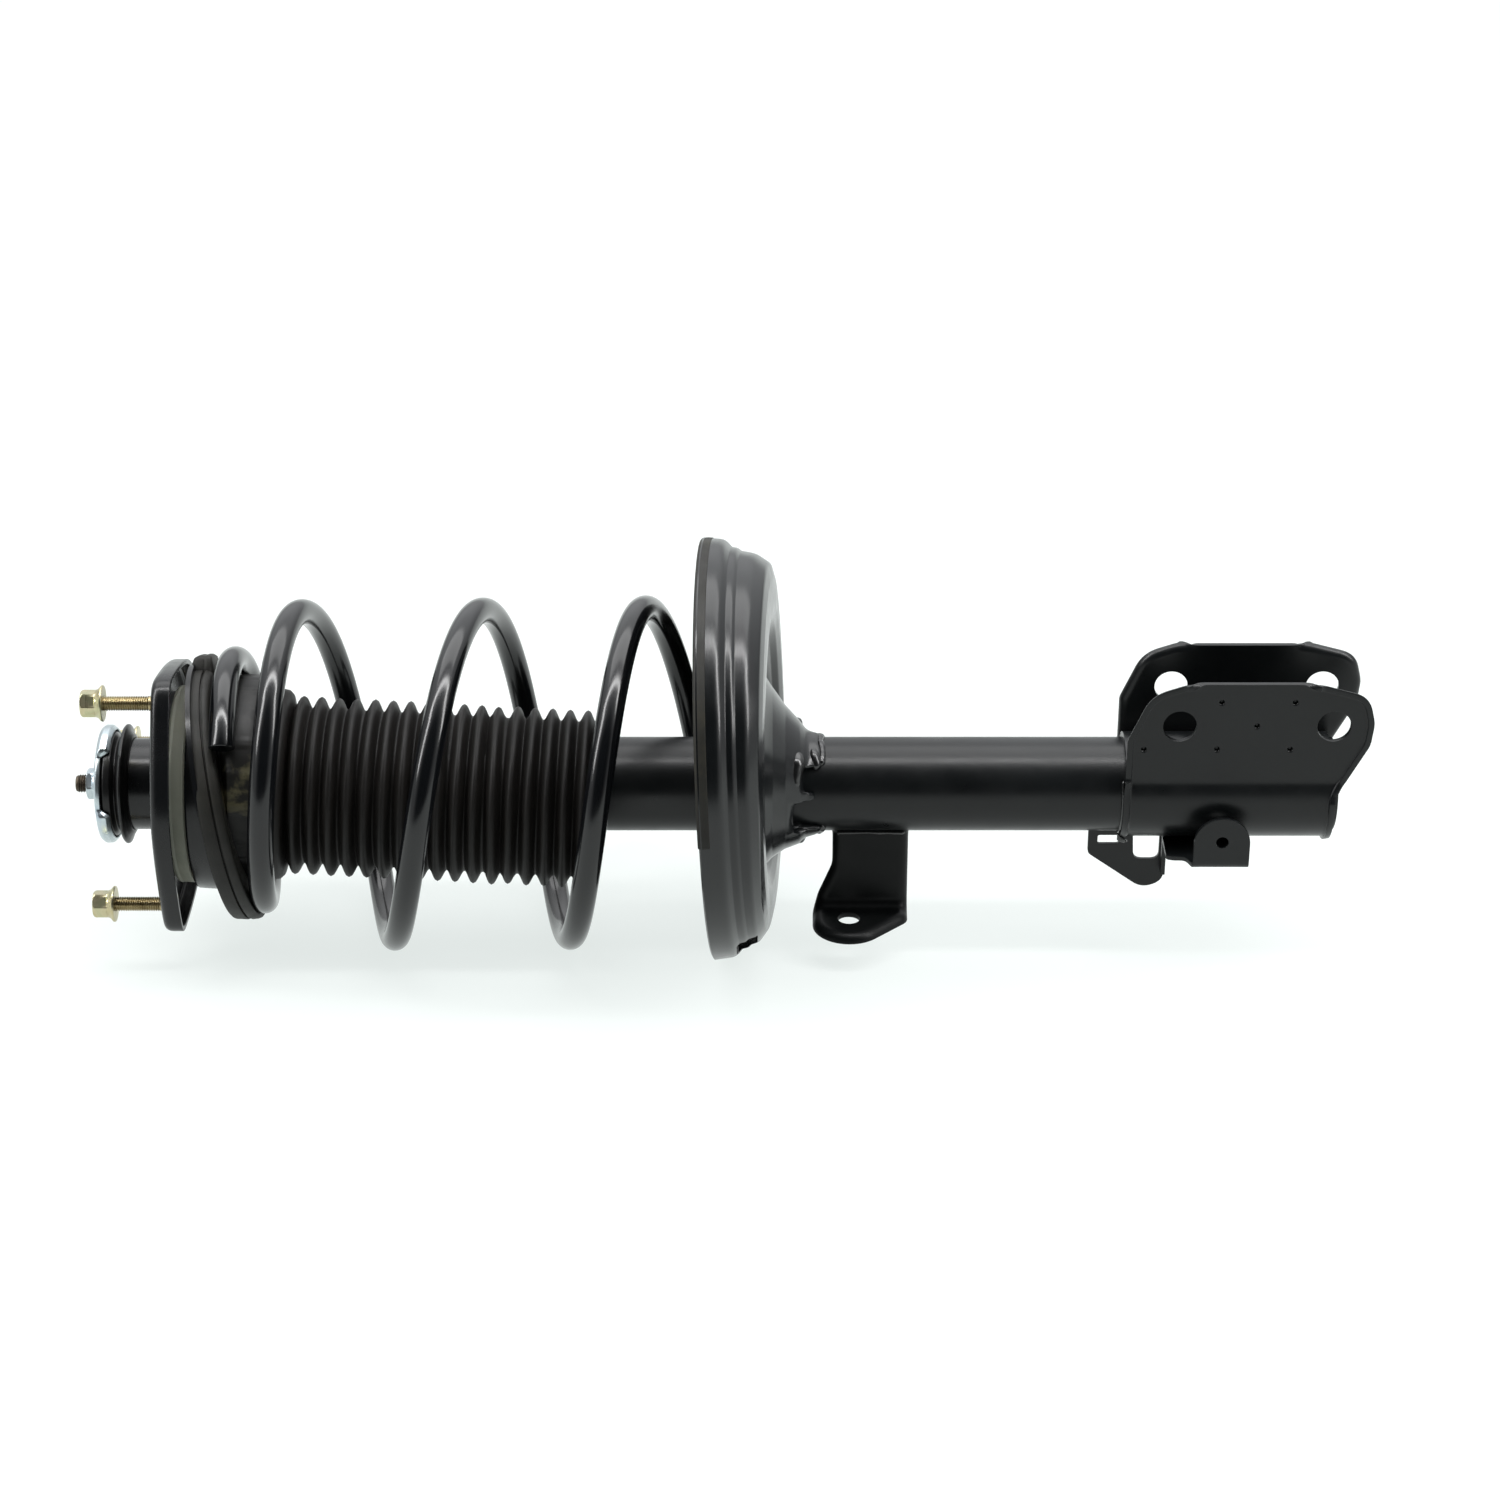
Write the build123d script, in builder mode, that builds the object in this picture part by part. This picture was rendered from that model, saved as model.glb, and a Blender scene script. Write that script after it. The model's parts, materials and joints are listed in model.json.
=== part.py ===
"""Front strut assembly: top mount, bearing, coil spring, dust boot, twin-tube damper and brackets.

Frame: X runs along the strut from the top mount to the knuckle bracket. Z is up, with the strut
lying on its side and the ears of the knuckle bracket pointing up. The hose bracket's tab is on the
-Y side. The origin is on the strut's axis, at the face of the mount plate that bolts against the
car body. All lengths are in millimetres, and r in a name is a radius.
"""

from build123d import *
from math import cos, radians, sin, tan
import os

os.makedirs("parts", exist_ok=True)

# --- driving dimensions -------------------------------------------------------------------------
SHEET = 3.0                       # pressed steel of the seats and brackets
RUNNING_GAP = 0.05                # radial clearance of the sliding fits
FIT_GAP = 0.05                    # radial clearance between fixed parts

ROD_R = 11.0
ROD_THREAD_R = 5.0
ROD_SHOULDER_X = 8.1
PISTON_X = 262.0

TUBE_R = 25.5
TUBE_WALL = 2.2
TUBE_TOP_X = 206.0
TUBE_END_X = 632.0
TUBE_BORE = TUBE_R - TUBE_WALL
CYLINDER_R = 16.0                 # bore of the inner cylinder
CYLINDER_WALL = 1.5
CYLINDER_X = (226.1, 604.0)

STUD_R = 4.0                      # M8
STUD_ROOT_R = 3.35
STUD_KNURL_R = 4.3                # the pressed-in part, in the plate
STUD_TIP_X = -37.0
STUD_PCD = 132.0
STUD_FIRST_ANGLE = 111.5          # from +Y towards +Z
NUT_X = (-38.5, -28.8, -26.2)     # end of the hexagon, back of the flange, face of the flange
LOBE_R = 15.5
PLATE_R = 68.5
PLATE_DEPTH = 10.5
PLATE_SHEET = 2.8
NECK_R = 25.0
NECK_X = -21.0

BEARING_R = 46.5
BALL_R = 2.2
BALL_X = 9.2
BALLS = 28
RACE_R = (42.5, 50.3)

UPPER_SEAT_Z = -6.0               # the upper seat's rim lies a little below the strut's axis
UPPER_RIM_R = 68.4
DRUM_R = 56.5
DRUM_X = 13.4
COLLAR_R = 57.2
COLLAR_Z = 3.0

WIRE_R = 7.0
GROOVE_R = WIRE_R + 0.3           # the rubber seats clear the wire all round
POINTS_PER_TURN = 14
COIL_POINTS = 63                  # runs of wire from tip to tip, four and a half turns
TIP_ANGLE = 42.4                  # where the upper tip lies, from -Y towards +Z
# turns from the upper tip, X, radius of the coil, height of the coil's centre
SPRING_STATIONS = [
    (0.00, 38.0, 65.0, 3.0),
    (0.21, 37.0, 65.0, 3.0),
    (0.71, 53.0, 66.0, 3.0),
    (0.96, 61.3, 75.0, 4.0),
    (1.21, 73.0, 88.0, 5.9),
    (1.71, 123.0, 88.8, 5.9),
    (2.21, 172.0, 88.8, 5.9),
    (2.71, 218.0, 88.4, 5.9),
    (3.21, 260.0, 89.0, 7.0),
    (3.50, 292.5, 89.6, 10.0),
    (3.71, 303.0, 90.0, 13.0),
    (3.96, 308.5, 91.0, 18.0),
    (4.21, 313.0, 91.5, 21.5),
    (4.50, 318.5, 91.5, 21.5),
]

BOOT_X = 64.0
BOOT_DROOP = 3.3                  # degrees: its free end hangs down on the tube
BOOT_FOLDS = 17
BOOT_PITCH = 9.65
BOOT_WALL = 1.8

LOWER_SEAT_X = 294.5              # centre of the lower seat's rim
LOWER_SEAT_Z = 21.5
LOWER_SEAT_LEAN = 3.4
LOWER_SEAT_LEAN_TOWARDS = 54.0    # the rim leans to the top mount at this angle, from -Y to +Z
LOWER_RUBBER_ARC = 233.0          # from below the far side, up and over to the near side
HUB_X = (318.0, 346.0)            # the cone that joins the dish to the tube
HUB_FLOOR_R = 54.0
HUB_FLOOR_Z = 9.0
COLLAR_END_X = 353.0

EAR_X = (517.0, 648.0)
EAR_INNER_Y = 22.0                # half the gap for the knuckle
EAR_OUTER_Y = EAR_INNER_Y + SHEET
EAR_TOP_Z = 72.8
EAR_LIP = 4.0
FLARE = 3.2                       # the wrap's ends are turned out by this much
KNUCKLE_HOLE_R = 9.0
KNUCKLE_HOLE_X = (544.5, 626.5)
KNUCKLE_HOLE_Z = 48.0
WRAP_R = TUBE_R + SHEET
WRAP_END_X = 629.5
WRAP_FROM, WRAP_ARC = 152, 236    # the sheet goes under the tube, from +Y towards +Z

LINK_TAB_Z = -73.0
LINK_HOLE = (370.0, -25.0)
LINK_HOLE_R = 6.1
LINK_WALL_X = (362.0, 401.5)
LINK_FLARE_X = 351.5
LINK_FLANGE = 11.0

HOSE_TAB_X = 569.0
HOSE_TAB_Y = -38.0
HOSE_HOLE_Z = -14.2
HOSE_HOLE_R = 3.4
HOSE_SHEET = 2.4
HANGER_X = (501.0, 543.0)


# --- shared shapes ------------------------------------------------------------------------------
def around(angle):
    """The unit vector across the strut at an angle measured from -Y towards +Z."""
    return Vector(0, -cos(radians(angle)), sin(radians(angle)))


def turned(points, plane=Plane.XY, arc=360, mode=Mode.ADD):
    """Revolve a closed outline of (distance along, radius) points about a plane's x direction."""
    with BuildSketch() as profile:
        with BuildLine():
            Polyline(*points, close=True)
        make_face()
    revolve(plane * profile.sketch, axis=Axis(plane.origin, plane.x_dir), revolution_arc=arc, mode=mode)


def ring(x0, x1, r0, r1, mode=Mode.ADD):
    """A plain ring on the strut's axis."""
    turned([(x0, r0), (x1, r0), (x1, r1), (x0, r1)], mode=mode)


def strip(points, thickness):
    """The outline of a bent sheet whose middle runs through the points."""
    middle = [Vector(x, y) for x, y in points]
    steps = [(b - a).normalized() for a, b in zip(middle, middle[1:])]
    left, right = [], []
    for i, point in enumerate(middle):
        before = steps[max(i - 1, 0)]
        after = steps[min(i, len(steps) - 1)]
        across = (before + after).normalized().rotate(Axis.Z, 90)
        reach = thickness / 2 / across.dot(after.rotate(Axis.Z, 90))
        left.append(point + across * reach)
        right.append(point - across * reach)
    return [(p.X, p.Y) for p in left + right[::-1]]


def tilted_plane(x, lean, towards, z):
    """A plane across the strut that leans to the top mount on one side. Its normal is near +X."""
    side = around(towards)
    normal = Vector(1, 0, 0) * cos(radians(lean)) + side * sin(radians(lean))
    return Plane(origin=(x, 0, z), x_dir=side.cross(normal), z_dir=normal)


def pegs(x0, x1, r, mode=Mode.ADD):
    """Round pegs or holes at the three studs."""
    with Locations(Plane.YZ.offset(x0)):
        with PolarLocations(STUD_PCD / 2, 3, start_angle=STUD_FIRST_ANGLE):
            Cylinder(r, x1 - x0, align=(Align.CENTER, Align.CENTER, Align.MIN), mode=mode)


def drilled(x0, x1, r, circle_r, count):
    """A circle of small holes along the strut."""
    with Locations(Plane.YZ.offset(x0)):
        with PolarLocations(circle_r, count):
            Cylinder(r, x1 - x0, align=(Align.CENTER, Align.CENTER, Align.MIN), mode=Mode.SUBTRACT)


def hexagon(x0, x1, across_flats, bore):
    """A hexagon on the strut's axis with a round bore."""
    with BuildSketch(Plane.YZ.offset(x0)) as section:
        RegularPolygon(across_flats / 2, 6, major_radius=False)
        Circle(bore, mode=Mode.SUBTRACT)
    extrude(section.sketch, amount=x1 - x0)


def mount_outline(inset=0.0):
    """A circle with three lobes round the studs."""
    with BuildSketch() as shape:
        Circle(PLATE_R - inset)
        with PolarLocations(STUD_PCD / 2, 3, start_angle=STUD_FIRST_ANGLE):
            Circle(LOBE_R - inset)
        make_hull()
    return shape.sketch


def station(turns, column):
    """A spring station's value at any turn, on a smooth curve through the stations."""
    last = len(SPRING_STATIONS) - 1
    i = max(n for n in range(last) if SPRING_STATIONS[n][0] <= turns + 1e-9)
    slopes = []
    for n in (i, i + 1):
        before = SPRING_STATIONS[max(n - 1, 0)]
        after = SPRING_STATIONS[min(n + 1, last)]
        slopes.append((after[column] - before[column]) / (after[0] - before[0]))
    a, b = SPRING_STATIONS[i], SPRING_STATIONS[i + 1]
    span = b[0] - a[0]
    s = (turns - a[0]) / span
    leaving = (1 + 2 * s) * (1 - s) ** 2 * a[column] + s * (1 - s) ** 2 * span * slopes[0]
    return leaving + s * s * (3 - 2 * s) * b[column] + s * s * (s - 1) * span * slopes[1]


def wire_centre(turns):
    """The middle of the spring's wire, a left-handed coil."""
    centre = Vector(station(turns, 1), 0, station(turns, 3))
    return centre + around(TIP_ANGLE + 360 * turns) * station(turns, 2)


def coil(first, last, radius, overrun=0.0, mode=Mode.ADD):
    """Round bar along the spring's points: short runs joined by tangent arcs."""
    points = [wire_centre(n / POINTS_PER_TURN) for n in range(first, last + 1)]
    points[0] += (points[0] - points[1]).normalized() * overrun
    points[-1] += (points[-1] - points[-2]).normalized() * overrun
    runs = [b - a for a, b in zip(points, points[1:])]
    radii = []
    for a, b in zip(runs, runs[1:]):
        half_turn = radians(a.get_angle(b)) / 2
        radii.append(0.45 * min(a.length, b.length) / tan(half_turn))
    with BuildLine() as path:
        FilletPolyline(*points, radius=radii)
    with BuildSketch(Plane(origin=path.line @ 0, z_dir=path.line % 0)) as section:
        Circle(radius)
    sweep(section.sketch, path=path.line, mode=mode)


# --- top mount: bolts to the car body and carries the piston rod -----------------------------------
with BuildPart() as mount_plate:
    extrude(Plane.YZ * mount_outline(), amount=PLATE_DEPTH)
    fillet(mount_plate.faces().sort_by(Axis.X)[0].edges(), radius=5)
    extrude(Plane.YZ.offset(PLATE_SHEET) * mount_outline(PLATE_SHEET), amount=PLATE_DEPTH,
            mode=Mode.SUBTRACT)
    ring(-1, PLATE_DEPTH, 0, NECK_R + FIT_GAP, mode=Mode.SUBTRACT)
    pegs(-1, PLATE_DEPTH, STUD_KNURL_R + FIT_GAP, mode=Mode.SUBTRACT)

with BuildPart() as body_studs:
    pegs(STUD_TIP_X, NUT_X[2] + 0.1, STUD_ROOT_R)
    pegs(NUT_X[2] + 0.1, 0, STUD_R)
    pegs(0, PLATE_SHEET + 0.1, STUD_KNURL_R)
    pegs(PLATE_SHEET + 0.1, 6.4, 6.5)

with BuildPart() as stud_nuts:
    with BuildSketch(Plane.YZ.offset(NUT_X[0])):
        with PolarLocations(STUD_PCD / 2, 3, start_angle=STUD_FIRST_ANGLE):
            RegularPolygon(6.5, 6, major_radius=False)
    extrude(amount=NUT_X[1] - NUT_X[0])
    pegs(NUT_X[1], NUT_X[2], 9.6)
    pegs(STUD_TIP_X - FIT_GAP, NUT_X[2], STUD_ROOT_R + FIT_GAP, mode=Mode.SUBTRACT)

# the deep-drawn neck, with its flange under the plate and its mouth turned in
with BuildPart() as bushing_cup:
    turned(strip([(NECK_X + 1.2, 15), (NECK_X + 1.2, 23.8), (4.1, 23.8), (4.1, 41)], 2.4))

with BuildPart() as mount_bushing:
    turned([(-18.4, 9.4), (5.0, 9.4), (2.6, 14), (2.6, 22.5), (-18.4, 22.5)])

with BuildPart() as bushing_sleeve:
    ring(-33.9, ROD_SHOULDER_X - 0.1, ROD_THREAD_R + 0.1, 9.3)

# rubber stop with a thin ring, a groove and a lip that closes over the neck
with BuildPart() as stopper_spool:
    turned([(-32, 9.4), (NECK_X - 0.05, 9.4), (NECK_X - 0.05, 25.2), (-19, 25.2), (-18.4, 26),
            (-19.5, 30.5),
            (-21.5, 32.4), (-24, 32.2), (-24.6, 25.5), (-26.4, 25.5), (-27, 27.6), (-29, 28.4),
            (-32, 27.6)])

with BuildPart() as retainer_washer:
    turned(strip([(-35, 5.2), (-35, 11.4), (-33.05, 13.6), (-33.05, 29.2), (-31.2, 31.2), (-27, 31.2)],
                 2.0))

with BuildPart() as rod_nut:
    hexagon(-43.8, -38.4, 14, ROD_THREAD_R + FIT_GAP)
    ring(-38.4, -36.1, ROD_THREAD_R + FIT_GAP, 8.8)

with BuildPart() as piston_rod:
    turned([(-50, 0), (-50, 4.2), (-49.2, ROD_THREAD_R), (ROD_SHOULDER_X, ROD_THREAD_R),
            (ROD_SHOULDER_X, 10.2),
            (ROD_SHOULDER_X + 0.8, ROD_R), (PISTON_X, ROD_R), (PISTON_X, ROD_THREAD_R),
            (294, ROD_THREAD_R), (294, 0)])

with BuildPart() as bearing_upper_race:
    ring(PLATE_SHEET + 0.1, 8.0, *RACE_R)
    with Locations(Plane.YZ.offset(BALL_X)):
        Torus(BEARING_R, BALL_R + 0.1, mode=Mode.SUBTRACT)

with BuildPart() as bump_stop:
    turned([(22, ROD_R), (112, ROD_R), (112, 15), (104, 19), (97, 20.5), (92, 17.5), (87, 20.8),
            (78, 22.4),
            (71, 18.5), (64, 22.6), (56, 23.4), (50, 19.5), (44, 23.6), (34, 24), (22, 24)])

with BuildPart() as rebound_stop:
    turned([(238, ROD_R), (246, ROD_R), (246, 15), (242, 15.6), (238, 14)])

with BuildPart() as rebound_valve_discs:
    for n in range(3):
        ring(PISTON_X + 0.1 + n, PISTON_X + 0.9 + n, ROD_THREAD_R + 0.1, 10.5 + 1.2 * n)

with BuildPart() as piston:
    ring(265.2, 283.2, ROD_THREAD_R + 0.1, CYLINDER_R - 0.6)
    ring(268.2, 280.2, CYLINDER_R - 1.6, CYLINDER_R, mode=Mode.SUBTRACT)
    drilled(265, 284, 1.2, 10.5, 8)

with BuildPart() as piston_band:
    ring(268.3, 280.1, CYLINDER_R - 1.5, CYLINDER_R - RUNNING_GAP)

with BuildPart() as compression_valve_discs:
    for n in range(2):
        ring(283.4 + n, 284.2 + n, ROD_THREAD_R + 0.1, 12.5 - 1.6 * n)

with BuildPart() as piston_nut:
    hexagon(285.4, 292.4, 15, ROD_THREAD_R + FIT_GAP)


# --- upper spring seat: turns on the bearing with the spring ---------------------------------------
SEAT_FACE = tilted_plane(24.5, 7.9, 112.0, UPPER_SEAT_Z)
RUBBER_FACE = tilted_plane(38.5, 10.4, 112.0, UPPER_SEAT_Z)

with BuildPart() as bearing_lower_race:
    ring(10.4, DRUM_X, *RACE_R)
    with Locations(Plane.YZ.offset(BALL_X)):
        Torus(BEARING_R, BALL_R + 0.05, mode=Mode.SUBTRACT)

with BuildPart() as bearing_balls:
    with Locations(Plane.YZ.offset(BALL_X)):
        with PolarLocations(BEARING_R, BALLS):
            Sphere(BALL_R)

with BuildPart() as dust_seal:
    ring(6.6, DRUM_X - 0.1, 50.6, 53.0)

# a drum with a sloping flange, which gives the spring's end coil its slope
with BuildPart() as upper_spring_seat:
    turned(strip([(DRUM_X + SHEET / 2, 27), (DRUM_X + SHEET / 2, DRUM_R - SHEET / 2),
                  (48, DRUM_R - SHEET / 2)], SHEET))
    split(bisect_by=SEAT_FACE, keep=Keep.BOTTOM)
    with BuildSketch(SEAT_FACE):
        Circle(UPPER_RIM_R - 2.5)
    extrude(amount=-SHEET)
    ring(DRUM_X + SHEET, 60, 0, DRUM_R - SHEET, mode=Mode.SUBTRACT)

with BuildPart() as upper_insulator:
    with BuildSketch(SEAT_FACE):
        Circle(UPPER_RIM_R)
    extrude(amount=45)
    split(bisect_by=RUBBER_FACE, keep=Keep.BOTTOM)
    with Locations(Plane.YZ.offset(20)):
        with Locations((0, COLLAR_Z)):
            Cylinder(COLLAR_R, 36, align=(Align.CENTER, Align.CENTER, Align.MIN))
    split(bisect_by=SEAT_FACE.offset(0.05), keep=Keep.TOP)
    ring(0, 70, 0, DRUM_R - SHEET - 0.2, mode=Mode.SUBTRACT)
    coil(0, 18, GROOVE_R, overrun=0.5, mode=Mode.SUBTRACT)

BOOT_AXIS = Vector(cos(radians(BOOT_DROOP)), 0, -sin(radians(BOOT_DROOP)))

with BuildPart() as dust_boot:
    wall = [(-6, 52), (0, 51)]
    for n in range(BOOT_FOLDS):
        wall += [(2.5 + BOOT_PITCH * n, 41.6), (2.5 + BOOT_PITCH * (n + 0.5), 47.6)]
    wall += [(2.5 + BOOT_PITCH * BOOT_FOLDS, 41.6)]
    turned(strip(wall, BOOT_WALL), plane=Plane(origin=(BOOT_X, 0, -0.5), x_dir=BOOT_AXIS,
                                               z_dir=(0, -1, 0)))

with BuildPart() as coil_spring:
    coil(0, COIL_POINTS, WIRE_R)


# --- damper body: goes up and down and turns with the wheel ----------------------------------------
with BuildPart() as outer_tube:
    ring(TUBE_TOP_X, TUBE_END_X, TUBE_BORE, TUBE_R)

with BuildPart() as tube_cap:
    turned(strip([(TUBE_TOP_X - 2.9, ROD_R + 4), (TUBE_TOP_X - 2.9, TUBE_R + 0.9),
                  (TUBE_TOP_X + 12, TUBE_R + 0.9)], 1.6))

with BuildPart() as oil_seal:
    turned([(TUBE_TOP_X - 1.9, ROD_R + RUNNING_GAP), (TUBE_TOP_X + 3.9, ROD_R + RUNNING_GAP),
            (TUBE_TOP_X + 3.9, TUBE_BORE - 0.1), (TUBE_TOP_X + 0.2, TUBE_BORE - 0.1),
            (TUBE_TOP_X - 1.9, 20)])

with BuildPart() as rod_guide:
    turned([(210, 12.1), (228, 12.1), (232, 13), (232, CYLINDER_R - 0.1), (226, CYLINDER_R - 0.1),
            (226, TUBE_BORE - 0.1), (210, TUBE_BORE - 0.1)])

with BuildPart() as guide_bush:
    ring(211, 227, ROD_R + RUNNING_GAP, 12.05)

with BuildPart() as inner_cylinder:
    ring(*CYLINDER_X, CYLINDER_R, CYLINDER_R + CYLINDER_WALL)

with BuildPart() as base_valve:
    turned([(597, 4), (600, 4), (600, 2.5), (615, 2.5), (615, TUBE_BORE - 0.1), (606, TUBE_BORE - 0.1),
            (604.1, 19), (604.1, CYLINDER_R - 0.1), (597, CYLINDER_R - 0.1)])
    drilled(590, 620, 1.4, 10.5, 6)

with BuildPart() as base_valve_bolt:
    ring(593.5, 596.9, 0, 5.5)
    ring(596.9, 618, 0, 2.4)

with BuildPart() as bottom_cap:
    turned([(624, 0), (624, 21), (TUBE_END_X, 21), (TUBE_END_X, TUBE_BORE - 0.1),
            (621, TUBE_BORE - 0.1), (621, 0)])

LOWER_RIM = tilted_plane(LOWER_SEAT_X, LOWER_SEAT_LEAN, LOWER_SEAT_LEAN_TOWARDS, LOWER_SEAT_Z)
DISH_AXIS = Plane(origin=LOWER_RIM.origin, x_dir=LOWER_RIM.z_dir, z_dir=LOWER_RIM.x_dir)


def hub_cone(shift, mode):
    """The lopsided cone from the dish's floor to the collar on the tube."""
    with BuildSketch(Plane.YZ.offset(HUB_X[0] + shift)) as floor:
        with Locations((0, HUB_FLOOR_Z)):
            Circle(HUB_FLOOR_R)
    with BuildSketch(Plane.YZ.offset(HUB_X[1] + shift)) as end:
        Circle(WRAP_R)
    loft([floor.sketch, end.sketch], mode=mode)


# a deep stepped dish, off centre and leaning, with a cone and a notched collar welded to the tube
with BuildPart() as lower_spring_seat:
    turned(strip([(0, 112.6), (10, 111), (14.5, 106.6), (17.5, 105.4), (22, 103.4), (25, 102.2),
                  (29, 99.2),
                  (32.6, 93.5), (33.8, 84), (33.8, 76), (31.5, 70), (27.6, 66), (26, 60), (26, 10)],
                  SHEET), plane=DISH_AXIS)
    hub_cone(0, Mode.ADD)
    hub_cone(-4.2, Mode.SUBTRACT)
    ring(HUB_X[1] - SHEET, COLLAR_END_X, TUBE_R, WRAP_R)
    ring(280, 400, 0, TUBE_R + FIT_GAP, mode=Mode.SUBTRACT)
    with Locations(Plane.YZ.offset(COLLAR_END_X)):
        with PolarLocations(WRAP_R, 4, start_angle=149):
            Cylinder(6.5, 9, mode=Mode.SUBTRACT)
    # the drain slot in the lowest wall
    with Locations(Plane(origin=(314.5, -68, -61), x_dir=(1, 0, 0), z_dir=around(-50.5))):
        Box(11.2, 22, 24, mode=Mode.SUBTRACT)

with BuildPart() as lower_insulator:
    turned([(-2.8, 106), (-2.8, 114.2), (0, 114.2), (6, 111), (13, 108), (20, 104), (28, 99),
            (32.6, 92), (33, 82),
            (22, 82), (22, 98.2), (13.4, 102.4), (8.6, 107.4)], plane=DISH_AXIS, arc=LOWER_RUBBER_ARC)
    coil(40, COIL_POINTS, GROOVE_R, overrun=0.5, mode=Mode.SUBTRACT)
    add(lower_spring_seat.part, mode=Mode.SUBTRACT)

with BuildPart() as seat_welds:
    for start in (190, 262, 334, 46):
        turned([(COLLAR_END_X + 0.1, TUBE_R + FIT_GAP), (357.5, TUBE_R + FIT_GAP),
                (COLLAR_END_X + 0.1, 28.4)],
               plane=Plane.XY.rotated((start, 0, 0)), arc=40)


def ear_outline():
    """An ear of the knuckle bracket seen from the side, down to below the tube."""
    with BuildSketch() as shape:
        with BuildLine():
            FilletPolyline((EAR_X[0], -60), (EAR_X[0], 40), (528.5, 66.5), (547, EAR_TOP_Z),
                           (619, EAR_TOP_Z), (644, 66),
                           (EAR_X[1], 50), (EAR_X[1], 39), (WRAP_END_X, 5), (WRAP_END_X, -60),
                           radius=14, close=True)
        make_face()
    return shape.sketch


# one sheet bent into a U round the underside of the tube, with lips turned out round its ears
with BuildPart() as knuckle_bracket:
    with BuildSketch(Plane.YZ.offset(EAR_X[0] - 1)):
        Circle(WRAP_R)
        with Locations((0, 40)):
            Rectangle(2 * EAR_OUTER_Y, 80)
        with Locations((0, 12.9)):
            Rectangle(2 * EAR_INNER_Y, 80, align=(Align.CENTER, Align.MIN), mode=Mode.SUBTRACT)
        Circle(TUBE_R + FIT_GAP, mode=Mode.SUBTRACT)
    extrude(amount=140)
    extrude(Plane.XZ * ear_outline(), amount=60, both=True, mode=Mode.INTERSECT)
    for side in (-1, 1):
        with BuildSketch() as lip:
            add(ear_outline())
            offset(ear_outline(), amount=-SHEET, mode=Mode.SUBTRACT)
            with Locations((582.5, EAR_TOP_Z)):
                Rectangle(71, 12, mode=Mode.SUBTRACT)
            with Locations((580, 14)):
                Rectangle(200, 90, align=(Align.CENTER, Align.MAX), mode=Mode.SUBTRACT)
        extrude(Plane.XZ.offset(side * (EAR_OUTER_Y - 0.5)) * lip.sketch, amount=side * (EAR_LIP + 0.5))
        with BuildSketch(Plane.XZ.offset(side * EAR_OUTER_Y)) as pits:
            with Locations((526, 34.2), (565, 34.2), (604, 34.2), (566, 62.3), (605, 62.3),
                           (585.5, 48.2)):
                Circle(1.5)
        extrude(pits.sketch, amount=-side * 1.0, mode=Mode.SUBTRACT)
    for x0 in (EAR_X[0], WRAP_END_X - SHEET):
        turned([(x0, WRAP_R - 1), (x0 + SHEET, WRAP_R - 1), (x0 + SHEET, WRAP_R + FLARE),
                (x0, WRAP_R + FLARE)],
               plane=Plane.XY.rotated((WRAP_FROM, 0, 0)), arc=WRAP_ARC)
    with Locations(Plane.XZ):
        with Locations(*[(x, KNUCKLE_HOLE_Z) for x in KNUCKLE_HOLE_X]):
            Cylinder(KNUCKLE_HOLE_R, 80, mode=Mode.SUBTRACT)

with BuildPart() as bracket_reinforcement:
    with BuildSketch(Plane.YZ.offset(EAR_X[0] + 1)):
        Circle(WRAP_R)
        with Locations((0, 13.1)):
            Rectangle(2 * (EAR_INNER_Y - FIT_GAP), 40, align=(Align.CENTER, Align.MIN),
                      mode=Mode.INTERSECT)
        Circle(TUBE_R + FIT_GAP, mode=Mode.SUBTRACT)
    extrude(amount=WRAP_END_X - EAR_X[0] - 2)

with BuildPart() as bracket_weld:
    turned([(513.2, TUBE_R + FIT_GAP), (EAR_X[0] - 0.1, TUBE_R + FIT_GAP), (EAR_X[0] - 0.1, 28.2)],
           plane=Plane.XY.rotated((WRAP_FROM, 0, 0)), arc=WRAP_ARC)

with BuildPart() as stabiliser_bracket:
    with BuildSketch(Plane.XY.offset(LINK_TAB_Z)):
        with Locations((LINK_HOLE[0] + 2, LINK_HOLE[1])):
            Circle(21.5)
        with Locations((LINK_WALL_X[1] - 2, -2), (LINK_WALL_X[0] + 2, -2)):
            Circle(2)
        make_hull()
    extrude(amount=SHEET)
    with BuildSketch(Plane.XZ) as back:
        with BuildLine():
            Polyline((LINK_WALL_X[0], 0), (LINK_WALL_X[1], 0), (LINK_WALL_X[1], LINK_TAB_Z),
                     (LINK_FLARE_X + 1, LINK_TAB_Z),
                     (LINK_FLARE_X + 2, LINK_TAB_Z + 4), (LINK_WALL_X[0], LINK_TAB_Z + 25), close=True)
        make_face()
    extrude(amount=SHEET)
    with BuildSketch(Plane.XZ) as flanges:
        with BuildLine():
            left = LINK_WALL_X[0] + SHEET / 2
            Polyline(*strip([(left, 0), (left, LINK_TAB_Z + 25), (LINK_FLARE_X + 3, LINK_TAB_Z + 1)],
                            SHEET), close=True)
        make_face()
        with Locations((LINK_WALL_X[1] - SHEET / 2, LINK_TAB_Z / 2)):
            Rectangle(SHEET, -LINK_TAB_Z)
    extrude(amount=LINK_FLANGE)
    ring(300, 450, 0, TUBE_R + FIT_GAP, mode=Mode.SUBTRACT)
    with Locations((*LINK_HOLE, LINK_TAB_Z)):
        Cylinder(LINK_HOLE_R, 40, mode=Mode.SUBTRACT)

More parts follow.
